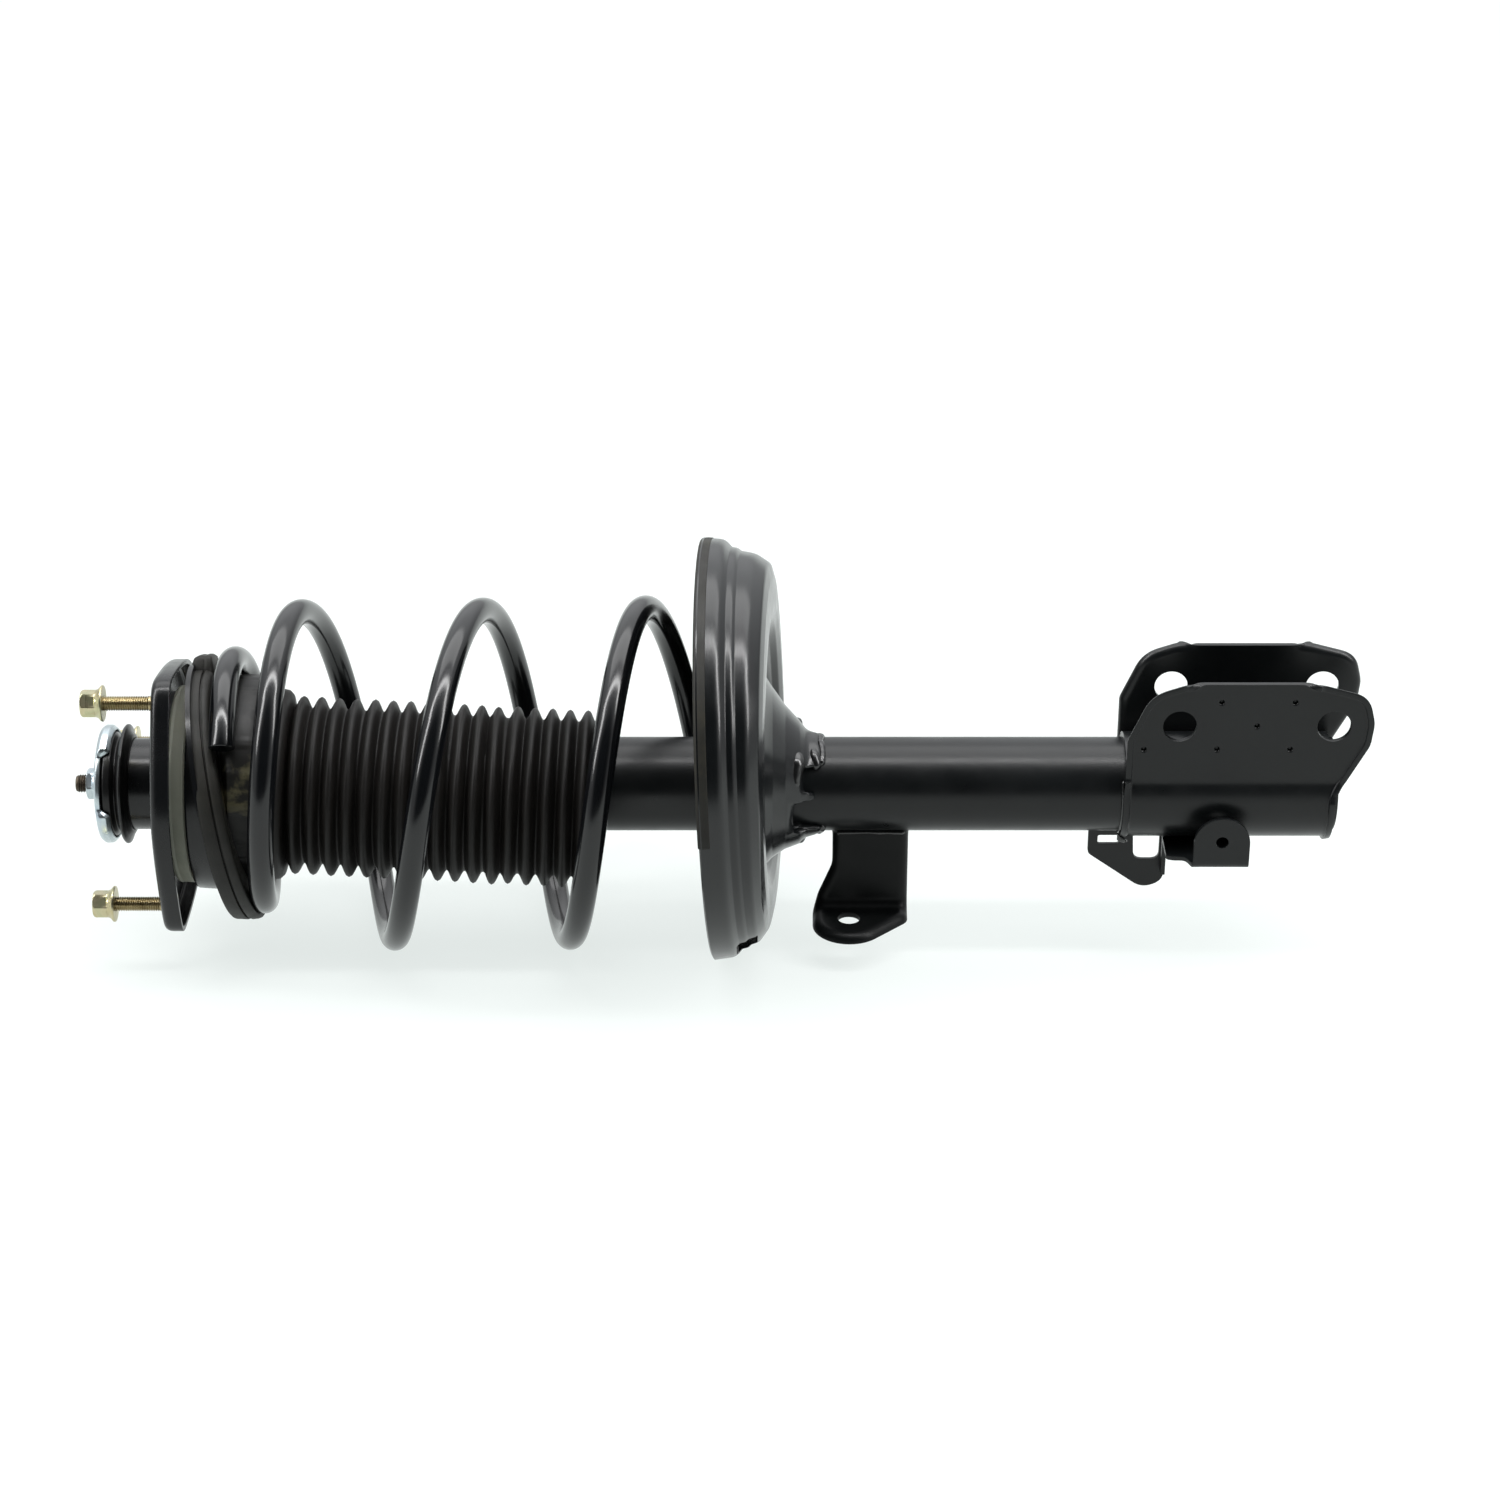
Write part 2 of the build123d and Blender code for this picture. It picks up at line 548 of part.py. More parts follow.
# a hanger with two windows, a shelf under the tube and a tab turned up in front of it
with BuildPart() as hose_bracket:
    with BuildSketch(Plane.XZ):
        with BuildLine():
            FilletPolyline((HANGER_X[0], -26), (HANGER_X[0], -42), (530, -63), (HANGER_X[1], -60),
                           (HANGER_X[1], -26),
                           radius=4, close=True)
        make_face()
        with Locations((513, -33.5)):
            Rectangle(11, 4.5, mode=Mode.SUBTRACT)
        with Locations((532, -39)):
            RectangleRounded(14, 15, 3, mode=Mode.SUBTRACT)
    extrude(amount=HOSE_SHEET)
    with Locations((HANGER_X[1] - HOSE_SHEET, 0, -52)):
        Box(HOSE_SHEET, 9, 22, align=(Align.MIN, Align.MAX, Align.MIN))
    with BuildSketch(Plane.XY.offset(-31)):
        with BuildLine():
            Polyline((HANGER_X[1] - HOSE_SHEET, 0), (HOSE_TAB_X + 15, 0),
                     (HOSE_TAB_X + 15, HOSE_TAB_Y - HOSE_SHEET),
                     (HOSE_TAB_X - 15, HOSE_TAB_Y - HOSE_SHEET), (HOSE_TAB_X - 15, -30),
                     (HANGER_X[1] - HOSE_SHEET, -30),
                     close=True)
        make_face()
    extrude(amount=HOSE_SHEET)
    with BuildSketch(Plane.XZ.offset(-HOSE_TAB_Y)):
        with Locations((HOSE_TAB_X, -15)):
            Circle(15)
        with Locations((HOSE_TAB_X, -23)):
            Rectangle(30, 16)
    extrude(amount=HOSE_SHEET)
    ring(480, 640, 0, WRAP_R + FIT_GAP, mode=Mode.SUBTRACT)
    ring(EAR_X[0] - 0.1, EAR_X[0] + SHEET + 0.1, 0, WRAP_R + FLARE + FIT_GAP, mode=Mode.SUBTRACT)
    with Locations(Plane.XZ):
        with Locations((HOSE_TAB_X, HOSE_HOLE_Z)):
            Cylinder(HOSE_HOLE_R, 100, mode=Mode.SUBTRACT)


# --- write every piece ------------------------------------------------------------------------------
pieces = {
    "mount_plate": mount_plate,
    "body_studs": body_studs,
    "stud_nuts": stud_nuts,
    "bushing_cup": bushing_cup,
    "mount_bushing": mount_bushing,
    "bushing_sleeve": bushing_sleeve,
    "stopper_spool": stopper_spool,
    "retainer_washer": retainer_washer,
    "rod_nut": rod_nut,
    "piston_rod": piston_rod,
    "bearing_upper_race": bearing_upper_race,
    "bump_stop": bump_stop,
    "rebound_stop": rebound_stop,
    "rebound_valve_discs": rebound_valve_discs,
    "piston": piston,
    "piston_band": piston_band,
    "compression_valve_discs": compression_valve_discs,
    "piston_nut": piston_nut,
    "bearing_lower_race": bearing_lower_race,
    "bearing_balls": bearing_balls,
    "dust_seal": dust_seal,
    "upper_spring_seat": upper_spring_seat,
    "upper_insulator": upper_insulator,
    "dust_boot": dust_boot,
    "coil_spring": coil_spring,
    "outer_tube": outer_tube,
    "tube_cap": tube_cap,
    "oil_seal": oil_seal,
    "rod_guide": rod_guide,
    "guide_bush": guide_bush,
    "inner_cylinder": inner_cylinder,
    "base_valve": base_valve,
    "base_valve_bolt": base_valve_bolt,
    "bottom_cap": bottom_cap,
    "lower_spring_seat": lower_spring_seat,
    "lower_insulator": lower_insulator,
    "seat_welds": seat_welds,
    "knuckle_bracket": knuckle_bracket,
    "bracket_reinforcement": bracket_reinforcement,
    "bracket_weld": bracket_weld,
    "stabiliser_bracket": stabiliser_bracket,
    "hose_bracket": hose_bracket,
}
for label, piece in pieces.items():
    piece.part.label = label
    export_step(piece.part, f"parts/{label}.step")
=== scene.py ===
"""Looks of the strut assembly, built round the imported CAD. Lengths in this script are millimetres until
a mesh is made. Angles across the strut are measured from -Y towards +Z, as in the CAD source."""

import json
import math

import bmesh
import bpy
import numpy as np
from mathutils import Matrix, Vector
from mathutils.geometry import delaunay_2d_cdt


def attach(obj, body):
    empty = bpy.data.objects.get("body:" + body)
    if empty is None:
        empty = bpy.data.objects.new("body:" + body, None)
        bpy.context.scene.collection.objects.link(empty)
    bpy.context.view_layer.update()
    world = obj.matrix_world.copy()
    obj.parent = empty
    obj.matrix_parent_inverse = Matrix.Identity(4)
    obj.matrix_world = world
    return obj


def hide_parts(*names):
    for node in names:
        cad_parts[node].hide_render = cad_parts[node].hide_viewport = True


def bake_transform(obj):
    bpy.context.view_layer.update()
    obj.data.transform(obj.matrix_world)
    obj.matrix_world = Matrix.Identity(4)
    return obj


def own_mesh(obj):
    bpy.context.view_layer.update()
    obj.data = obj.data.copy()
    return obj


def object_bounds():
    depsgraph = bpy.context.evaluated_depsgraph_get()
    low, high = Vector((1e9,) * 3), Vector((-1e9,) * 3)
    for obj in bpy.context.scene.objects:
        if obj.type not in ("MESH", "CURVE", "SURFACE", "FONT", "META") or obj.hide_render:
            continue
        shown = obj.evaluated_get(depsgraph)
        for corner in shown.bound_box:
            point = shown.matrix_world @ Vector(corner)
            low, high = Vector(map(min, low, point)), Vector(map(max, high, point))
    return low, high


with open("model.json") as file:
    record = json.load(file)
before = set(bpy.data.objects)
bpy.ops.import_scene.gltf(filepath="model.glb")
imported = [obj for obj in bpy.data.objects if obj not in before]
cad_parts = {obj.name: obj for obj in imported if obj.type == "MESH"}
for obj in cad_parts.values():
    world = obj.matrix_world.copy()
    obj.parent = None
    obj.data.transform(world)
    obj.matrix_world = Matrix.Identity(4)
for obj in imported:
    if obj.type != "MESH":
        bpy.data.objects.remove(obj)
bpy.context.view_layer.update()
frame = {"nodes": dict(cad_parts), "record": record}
MM = 0.001
RNG = np.random.default_rng(7)
TAU = 2 * math.pi


# --- node groups and materials ---
class Nodes:
    """A small wrapper that adds nodes to one tree and joins them."""

    def __init__(self, owner):
        owner.use_nodes = True
        self.tree = owner.node_tree
        self.tree.nodes.clear()

    def add(self, kind, **values):
        node = self.tree.nodes.new("ShaderNode" + kind)
        for key, value in values.items():
            setattr(node, key, value)
        return node

    def link(self, a, b):
        self.tree.links.new(a, b)

    def ramp(self, factor, stops, interpolation="LINEAR"):
        node = self.add("ValToRGB")
        node.color_ramp.interpolation = interpolation
        while len(node.color_ramp.elements) < len(stops):
            node.color_ramp.elements.new(0.5)
        for element, (place, colour) in zip(node.color_ramp.elements, stops):
            element.position = place
            element.color = (*colour, 1)
        self.link(factor, node.inputs["Fac"])
        return node.outputs["Color"]


class Shader(Nodes):
    """The nodes of one material, round a principled surface."""

    def __init__(self, name):
        self.material = bpy.data.materials.new(name)
        super().__init__(self.material)
        self.bsdf = self.add("BsdfPrincipled")
        self.link(self.bsdf.outputs["BSDF"], self.add("OutputMaterial").inputs["Surface"])
        self.coords = self.add("TexCoord").outputs["Object"]

    def scaled(self, scale):
        node = self.add("Mapping")
        node.inputs["Scale"].default_value = scale
        self.link(self.coords, node.inputs["Vector"])
        return node.outputs["Vector"]

    def noise(self, scale, detail=3.0, rough=0.5, vector=None, distortion=0.0):
        node = self.add("TexNoise")
        for key, value in (("Scale", scale), ("Detail", detail), ("Roughness", rough),
                           ("Distortion", distortion)):
            node.inputs[key].default_value = value
        self.link(vector or self.coords, node.inputs["Vector"])
        return node.outputs["Fac"]

    def spread(self, factor, low, high, start=0.3, end=0.7):
        node = self.add("MapRange")
        for key, value in (("From Min", start), ("From Max", end), ("To Min", low), ("To Max", high)):
            node.inputs[key].default_value = value
        self.link(factor, node.inputs["Value"])
        return node.outputs["Result"]

    def sum(self, a, b, weight):
        node = self.add("Math", operation="MULTIPLY_ADD")
        self.link(b, node.inputs[0])
        node.inputs[1].default_value = weight
        self.link(a, node.inputs[2])
        return node.outputs["Value"]

    def bump(self, height, distance):
        node = self.add("Bump")
        node.inputs["Strength"].default_value = 1.0
        node.inputs["Distance"].default_value = distance * MM
        self.link(height, node.inputs["Height"])
        self.link(node.outputs["Normal"], self.bsdf.inputs["Normal"])

    def set(self, **values):
        names = {"metallic": "Metallic", "specular": "Specular IOR Level", "rough": "Roughness"}
        for key, value in values.items():
            if isinstance(value, (int, float)):
                self.bsdf.inputs[names[key]].default_value = value
            else:
                self.link(value, self.bsdf.inputs[names[key]])

    def colour(self, value):
        if isinstance(value, tuple):
            self.bsdf.inputs["Base Color"].default_value = (*value, 1)
        else:
            self.link(value, self.bsdf.inputs["Base Color"])


def paint(name, dark, light, rough, peel, specular):
    """Black paint on pressed steel: a soft orange peel, slightly uneven gloss and a few dusty patches."""
    s = Shader(name)
    s.colour(s.ramp(s.noise(18, 4, 0.6), [(0.35, dark), (0.7, light)]))
    fine = s.noise(900, 2)
    s.set(rough=s.spread(s.sum(s.noise(60, 5, 0.6), fine, 0.15), *rough, 0.35, 0.75), specular=specular)
    s.bump(s.sum(fine, s.noise(220, 2), 1.5), peel)
    return s.material


def rubber(name, dark, light, rough, grain, scale=700, stains=None, specular=0.32):
    """Moulded rubber: matt, with a grain, dull bloom and optional grease marks."""
    s = Shader(name)
    stops = [(0.3, dark), (0.56, light), (0.62, stains)] if stains else [(0.32, dark), (0.68, light)]
    s.colour(s.ramp(s.noise(26, 6, 0.65, distortion=0.4), stops))
    s.set(rough=s.spread(s.noise(45, 4, 0.6), *rough), specular=specular)
    s.bump(s.sum(s.noise(scale, 3, 0.7), s.noise(90, 3), 0.8), grain)
    return s.material


def metal(name, stops, rough, grain, scale=14.0):
    """Bare or plated metal, with turning marks round the strut's axis."""
    s = Shader(name)
    s.colour(s.ramp(s.noise(scale, 5, 0.6, distortion=0.8), stops))
    marks = s.noise(1.0, 2, 0.5, s.scaled((2600, 60, 60)))
    s.set(metallic=1.0, rough=s.spread(s.sum(marks, s.noise(120, 3), 0.6), *rough, 0.4, 1.2))
    s.bump(marks, grain)
    return s.material


# dark and light colour, roughness from and to, height of the orange peel in mm, specular level
PAINTS = {
    "satin_black_paint": ((0.0026, 0.0031, 0.0034), (0.0044, 0.0052, 0.0056), (0.27, 0.36), 0.008, 0.30),
    "mount_black_paint": ((0.0022, 0.0025, 0.0029), (0.0036, 0.0040, 0.0046), (0.20, 0.29), 0.006, 0.32),
    "spring_black_coat": ((0.0018, 0.0021, 0.0026), (0.0028, 0.0032, 0.0039), (0.13, 0.19), 0.004, 0.46),
    "seat_black_paint": ((0.0026, 0.0032, 0.0036), (0.0036, 0.0043, 0.0048), (0.18, 0.26), 0.004, 0.46),
    "weld_bead": ((0.0036, 0.0038, 0.0042), (0.0075, 0.0074, 0.0074), (0.16, 0.26), 0.015, 0.6),
    "link_bracket_paint": ((0.0022, 0.0026, 0.0027), (0.0038, 0.0044, 0.0045), (0.34, 0.46), 0.010, 0.14)}
# the same with the height of the grain in mm, then its scale, the stains' colour and the specular level
RUBBERS = {
    "black_rubber": ((0.0022, 0.0022, 0.0024), (0.0050, 0.0049, 0.0048), (0.26, 0.40), 0.015),
    "boot_rubber": ((0.0028, 0.0024, 0.0021), (0.0066, 0.0056, 0.0048), (0.46, 0.6), 0.04, 700, None, 0.2),
    "olive_rubber": ((0.0032, 0.0030, 0.0020), (0.0075, 0.0070, 0.0048), (0.5, 0.7), 0.05, 700,
                     (0.013, 0.012, 0.007)),
    "collar_rubber": ((0.0014, 0.0013, 0.0010), (0.0030, 0.0027, 0.0020), (0.40, 0.55), 0.03, 700,
                      (0.046, 0.042, 0.022)),
    "seal_plastic": ((0.190, 0.196, 0.158), (0.240, 0.246, 0.200), (0.45, 0.6), 0.03),
    "foam": ((0.42, 0.33, 0.14), (0.56, 0.46, 0.22), (0.75, 0.9), 0.25, 500),
    "band_plastic": ((0.05, 0.035, 0.02), (0.08, 0.06, 0.04), (0.4, 0.5), 0.02)}
# colours, roughness from and to, depth of the turning marks in mm, then the scale of the patches
METALS = {
    "yellow_zinc": ([(0.25, (0.44, 0.38, 0.21)), (0.45, (0.52, 0.47, 0.30)), (0.6, (0.43, 0.43, 0.26)),
                     (0.75, (0.44, 0.35, 0.22))], (0.24, 0.36), 0.012, 90),
    "stud_zinc": ([(0.3, (0.24, 0.19, 0.10)), (0.55, (0.34, 0.28, 0.16)), (0.75, (0.28, 0.25, 0.13))],
                  (0.26, 0.4), 0.012, 120.0),
    "clear_zinc": ([(0.3, (0.38, 0.45, 0.48)), (0.55, (0.50, 0.56, 0.58)), (0.75, (0.39, 0.46, 0.52))],
                   (0.22, 0.38), 0.012, 70.0),
    "ground_steel": ([(0.3, (0.70, 0.71, 0.73)), (0.7, (0.76, 0.77, 0.79))], (0.06, 0.12), 0.002),
    "machined_steel": ([(0.3, (0.42, 0.42, 0.43)), (0.7, (0.52, 0.52, 0.53))], (0.25, 0.4), 0.01),
    "bush_bronze": ([(0.3, (0.50, 0.36, 0.2)), (0.7, (0.6, 0.45, 0.26))], (0.25, 0.4), 0.01),
    "dark_rod_end": ([(0.3, (0.045, 0.038, 0.03)), (0.7, (0.10, 0.08, 0.06))], (0.4, 0.6), 0.02)}
LOOKS = {name: make(name, *values) for make, table in ((paint, PAINTS), (rubber, RUBBERS), (metal, METALS))
         for name, values in table.items()}


# --- shapes ---
def around(angle):
    """Unit vectors across the strut at angles in degrees from -Y towards +Z."""
    a = np.radians(np.asarray(angle, float))
    return np.stack([np.zeros_like(a), -np.cos(a), np.sin(a)], -1)


def full_turn(count):
    """Evenly spaced angles round a full turn, in degrees."""
    return np.linspace(0, 360, count, endpoint=False)


def apart(angles, centre):
    """How far angles lie from a centre, in degrees, the short way round."""
    return np.abs((angles - centre + 180) % 360 - 180)


def size_of(v):
    return np.linalg.norm(v, axis=-1)


def run_along(path):
    """Distance along a path at each of its points."""
    return np.concatenate([[0], np.cumsum(size_of(np.diff(path, axis=0)))])


def ring(x, r, angles, at=(0, 0)):
    """Points at an x and a radius, round an axis through at, which is a (y, z)."""
    t = np.radians(angles)
    return np.stack(np.broadcast_arrays(x, at[0] - r * np.cos(t), at[1] + r * np.sin(t)), -1)


def sample(places, run, table):
    """Rows of a table at places along its run."""
    return np.stack([np.interp(places, run, column) for column in np.asarray(table).T], -1)


def smooth(x):
    """0 below 0, 1 above 1, and an S curve between."""
    x = np.clip(x, 0, 1)
    return x * x * (3 - 2 * x)


def unit(v):
    return v / np.linalg.norm(v, axis=-1, keepdims=True)


def rounded(points, radius=0.5, closed=True, steps=4):
    """A 2D outline with its corners rounded. A third number in a point is that corner's own radius."""
    result = []
    for i, point in enumerate(points):
        here = np.array(point[:2], float)
        r = point[2] if len(point) > 2 else radius
        if r <= 0 or (not closed and i in (0, len(points) - 1)):
            result.append(here)
            continue
        arms = [np.array(points[j][:2], float) - here for j in (i - 1, (i + 1) % len(points))]
        lengths = [np.linalg.norm(arm) for arm in arms]
        cosine = np.clip(arms[0] @ arms[1] / lengths[0] / lengths[1], -1, 1)
        half = max(math.acos(cosine) / 2, 1e-3)
        reach = min(r / math.tan(half), 0.48 * lengths[0], 0.48 * lengths[1])
        a, b = (here + arm / length * reach for arm, length in zip(arms, lengths))
        for t in np.linspace(0, 1, steps + 1):
            result.append((1 - t) ** 2 * a + 2 * t * (1 - t) * here + t * t * b)
    return np.array(result)


def strip(middle, thickness):
    """The closed outline of a sheet whose middle runs through the points, with rounded ends."""
    middle = np.asarray(middle, float)
    along = unit(np.gradient(middle, axis=0))
    across = np.stack([-along[:, 1], along[:, 0]], -1) * thickness / 2
    left, right = middle + across, middle - across
    caps = []
    for point, side, forward in ((middle[-1], across[-1], along[-1]), (middle[0], -across[0], -along[0])):
        turn = np.linspace(0, math.pi, 7)[1:-1, None]
        corner = np.sign(np.cos(turn)) * np.abs(np.cos(turn)) ** 0.6
        caps.append(point + side * corner + forward * 0.9 * np.sin(turn) ** 0.6 * thickness / 2)
    return np.concatenate([left, caps[0], right[::-1], caps[1]])


def grid(rings, closed=True):
    """Faces over rings of points. The last ring joins the first, or both ends are capped."""
    n, m = np.shape(rings)[:2]
    faces = []
    for i in range(n if closed else n - 1):
        here, there = i * m, (i + 1) % n * m
        for k in range(m):
            q = (k + 1) % m
            faces.append((here + k, here + q, there + q, there + k))
    if not closed:
        faces += [tuple(range(m)), tuple((n - 1) * m + k for k in reversed(range(m)))]
    return np.reshape(rings, (-1, 3)), faces


def lathe(profile, count=160, origin=(0, 0, 0), axis=(1, 0, 0), warp=None):
    """A closed (distance, radius) outline turned about an axis. warp changes (x, r) at each angle."""
    profile = np.asarray(profile, float)
    angles = full_turn(count)
    a = unit(np.array(axis, float))
    side = around(0) - (around(0) @ a) * a
    side = unit(side)
    up = np.cross(side, a)
    x = np.repeat(profile[:, :1], count, 1)
    r = np.repeat(profile[:, 1:2], count, 1)
    if warp:
        x, r = warp(x, r, angles[None, :])
    t = np.radians(angles)
    out = np.cos(t)[:, None] * side + np.sin(t)[:, None] * up
    return grid(np.array(origin) + x[..., None] * a + r[..., None] * out[None])


def tube(points, radius, count):
    """A round bar along points, with a radius for each point if wanted. Rings don't twist."""
    points = np.asarray(points, float)
    radius = np.broadcast_to(radius, len(points))
    tangents = unit(np.gradient(points, axis=0))
    side = np.cross(tangents[0], [0, 0, 1.0])
    if np.linalg.norm(side) < 0.1:
        side = np.cross(tangents[0], [0, 1.0, 0])
    turn = np.linspace(0, TAU, count, endpoint=False)
    rings = []
    for point, tangent, r in zip(points, tangents, radius):
        side = unit(side - (side @ tangent) * tangent)
        up = np.cross(tangent, side)
        rings.append(point + r * (np.cos(turn)[:, None] * side + np.sin(turn)[:, None] * up))
    return grid(rings, False)


def join(*parts):
    """Several (points, faces) as one."""
    points, faces, base = [], [], 0
    for p, f in parts:
        points.append(p)
        faces += [tuple(i + base for i in face) for face in f]
        base += len(p)
    return np.concatenate(points), faces


def clean(mesh, merge, flat=None):
    """Merge double points, melt flat neighbours into one face if asked, and turn all faces outwards."""
    work = bmesh.new()
    work.from_mesh(mesh)
    bmesh.ops.remove_doubles(work, verts=work.verts, dist=merge)
    if flat:
        bmesh.ops.dissolve_limit(work, angle_limit=math.radians(flat), verts=work.verts, edges=work.edges)
    bmesh.ops.recalc_face_normals(work, faces=work.faces)
    work.to_mesh(mesh)
    work.free()


def in_scene(name, data):
    obj = bpy.data.objects.new(name, data)
    bpy.context.scene.collection.objects.link(obj)
    return obj


def mesh_of(name, part, look, sharp=35):
    points, faces = part
    mesh = bpy.data.meshes.new(name)
    mesh.from_pydata((np.asarray(points) * MM).tolist(), [], faces)
    clean(mesh, 2e-6)
    mesh.materials.append(LOOKS[look])
    obj = in_scene(name, mesh)
    shade(obj, sharp)
    return obj


def shade(obj, sharp):
    obj.data.shade_smooth()
    obj.data.set_sharp_from_angle(angle=math.radians(sharp))


def modify(obj, kind, **values):
    """Add one modifier and apply it."""
    modifier = obj.modifiers.new(kind, kind)
    for key, value in values.items():
        setattr(modifier, key, value)
    graph = bpy.context.evaluated_depsgraph_get()
    mesh = bpy.data.meshes.new_from_object(
        obj.evaluated_get(graph), preserve_all_data_layers=True, depsgraph=graph)
    old = obj.data
    obj.modifiers.clear()
    obj.data = mesh
    bpy.data.meshes.remove(old)


def bevel(obj, width, limit=55, segments=2, sharp=50):
    modify(obj, "BEVEL", width=width * MM, limit_method="ANGLE", angle_limit=math.radians(limit),
           segments=segments)
    shade(obj, sharp)


def cut(obj, cutter_part):
    """Take another closed shape away from a piece."""
    cutter = mesh_of("cutter", cutter_part, "machined_steel")
    modify(obj, "BOOLEAN", operation="DIFFERENCE", object=cutter, solver="EXACT")
    bpy.data.objects.remove(cutter)


def fit(obj, body, slot, *nodes):
    """Put a finished piece on its body, in the place of CAD nodes."""
    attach(obj, body)
    if nodes:
        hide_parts(*nodes)
    return obj


def piece(name, part, slot, body, *nodes, sharp=35, look=None):
    return fit(mesh_of(name, part, look or slot, sharp), body, slot, *nodes)


def turned(name, outline, slot, body, *nodes, steps=4, count=160):
    """A piece turned about the strut's axis from an outline of (x, radius, corner radius)."""
    return piece(name, lathe(rounded(outline, steps=steps), count), slot, body, *nodes)


def from_cad(node, name, slot, body, width):
    """A copy of a CAD node's mesh with its edges broken."""
    mesh = frame["nodes"][node].data.copy()
    clean(mesh, 1e-6, 1.0)
    mesh.materials.clear()
    mesh.materials.append(LOOKS[slot])
    obj = in_scene(name, mesh)
    bevel(obj, width, 40, 3, 35)
    fit(obj, body, slot, node)


def thread(x0, x1, major, pitch, core, at=(0, 0), count=40, per_pitch=8):
    """A threaded bar on an axis through at: rings of a real helical groove, with chamfered ends."""
    xs = np.linspace(x0, x1, int((x1 - x0) / pitch * per_pitch) + 1)
    angles = full_turn(count)
    phase = (xs[:, None] / pitch - angles[None] / 360) % 1
    tooth = np.clip(1.25 - np.abs(phase - 0.5) * 3.2, 0, 1)
    r = core + (major - core) * tooth
    ends = np.minimum(np.abs(xs - x0), np.abs(xs - x1))
    r = np.minimum(r, (core + ends * 1.2)[:, None])
    return grid(ring(xs[:, None], r, angles, at), False)


def hex_nut(x0, x1, across_flats, bore, flange, crown, turn, at=(0, 0)):
    """A hexagon with cone-chamfered corners, a round bore and a flange, as rings."""
    angles = full_turn(96)
    hexagon = across_flats / 2 / np.cos(np.radians((angles - turn + 30) % 60 - 30))
    corner = across_flats / 2 / math.cos(math.pi / 6)
    face = across_flats / 2 - 0.35
    rows = [(x0 + 0.35, bore), (x0, bore + 0.45), (x0, face - 0.6)]
    for s in np.linspace(0, 1, 9):
        reach = face + (corner - face + 0.3) * math.sin(s * math.pi / 2) * 1.02
        rows.append((x0 + 0.15 + s * s * crown * 1.5, np.minimum(hexagon, reach)))
    end = x1 - 4.4
    rows += [(end, hexagon), (end + 0.5, np.maximum(corner - 0.1, hexagon)), (end + 1.6, corner + 0.4),
             (end + 2.5, flange - 0.9), (end + 3.0, flange - 0.3), (end + 3.4, flange), (x1 - 0.3, flange),
             (x1, flange - 0.35), (x1, bore + 0.3), (x1 - 0.3, bore)]
    return grid([ring(x, r, angles, at) for x, r in rows])


TUBE_R = 25.5

# --- the coil spring's line ---
TIP_ANGLE = 42.4
WIRE_R = 7.0
WIRE_TURNS = 4.5
# turns from the wire's upper tip, and the middle of the wire there: x, radius of the coil, z of its centre
STATIONS = np.array([
    (0.00, 38, 65, 3), (0.21, 37, 65, 3), (0.71, 53, 66, 3), (0.96, 61.3, 75, 4),
    (1.21, 73, 88, 5.9), (1.71, 123, 88.8, 5.9), (2.21, 172, 88.8, 5.9), (2.71, 218, 88.4, 5.9),
    (3.21, 260, 89, 7), (3.50, 292.5, 89.6, 10), (3.71, 303, 90, 13), (3.96, 308.5, 91, 18),
    (4.21, 313, 91.5, 21.5), (4.50, 318.5, 91.5, 21.5)])


def station(turns, column):
    """The stations' values on a smooth curve, with the same slopes as the CAD source."""
    t, v = STATIONS[:, 0], STATIONS[:, column]
    number = np.arange(len(t))
    before, after = np.maximum(number - 1, 0), np.minimum(number + 1, len(t) - 1)
    slope = (v[after] - v[before]) / (t[after] - t[before])
    i = np.clip(np.searchsorted(t, turns, side="right") - 1, 0, len(t) - 2)
    span = t[i + 1] - t[i]
    s = (turns - t[i]) / span
    return ((1 + 2 * s) * (1 - s) ** 2 * v[i] + s * (1 - s) ** 2 * span * slope[i]
            + s * s * (3 - 2 * s) * v[i + 1] + s * s * (s - 1) * span * slope[i + 1])


def wire(turns):
    """The middle of the spring's wire."""
    return ring(station(turns, 1), station(turns, 2), TIP_ANGLE + 360 * turns, (0, station(turns, 3)))


# --- top mount ---
STUDS = [around(68.5 - 120 * k) * 66.0 for k in range(3)]
PLATE_R, LOBE_R = 68.5, 15.5


def mount_ring(x, inset, count=288):
    """The mount plate's lobed outline, moved in by inset: a soft hull of four circles, by direction."""
    out = around(full_turn(count))
    centres = np.array([[0, 0, 0], *STUDS])
    radii = np.array([PLATE_R, LOBE_R, LOBE_R, LOBE_R]) - inset
    share = np.exp(0.22 * (out @ centres.T + radii - 80))
    share /= share.sum(axis=1, keepdims=True)
    points = share @ centres + out * (share @ radii)[:, None]
    points[:, 0] = x
    return points


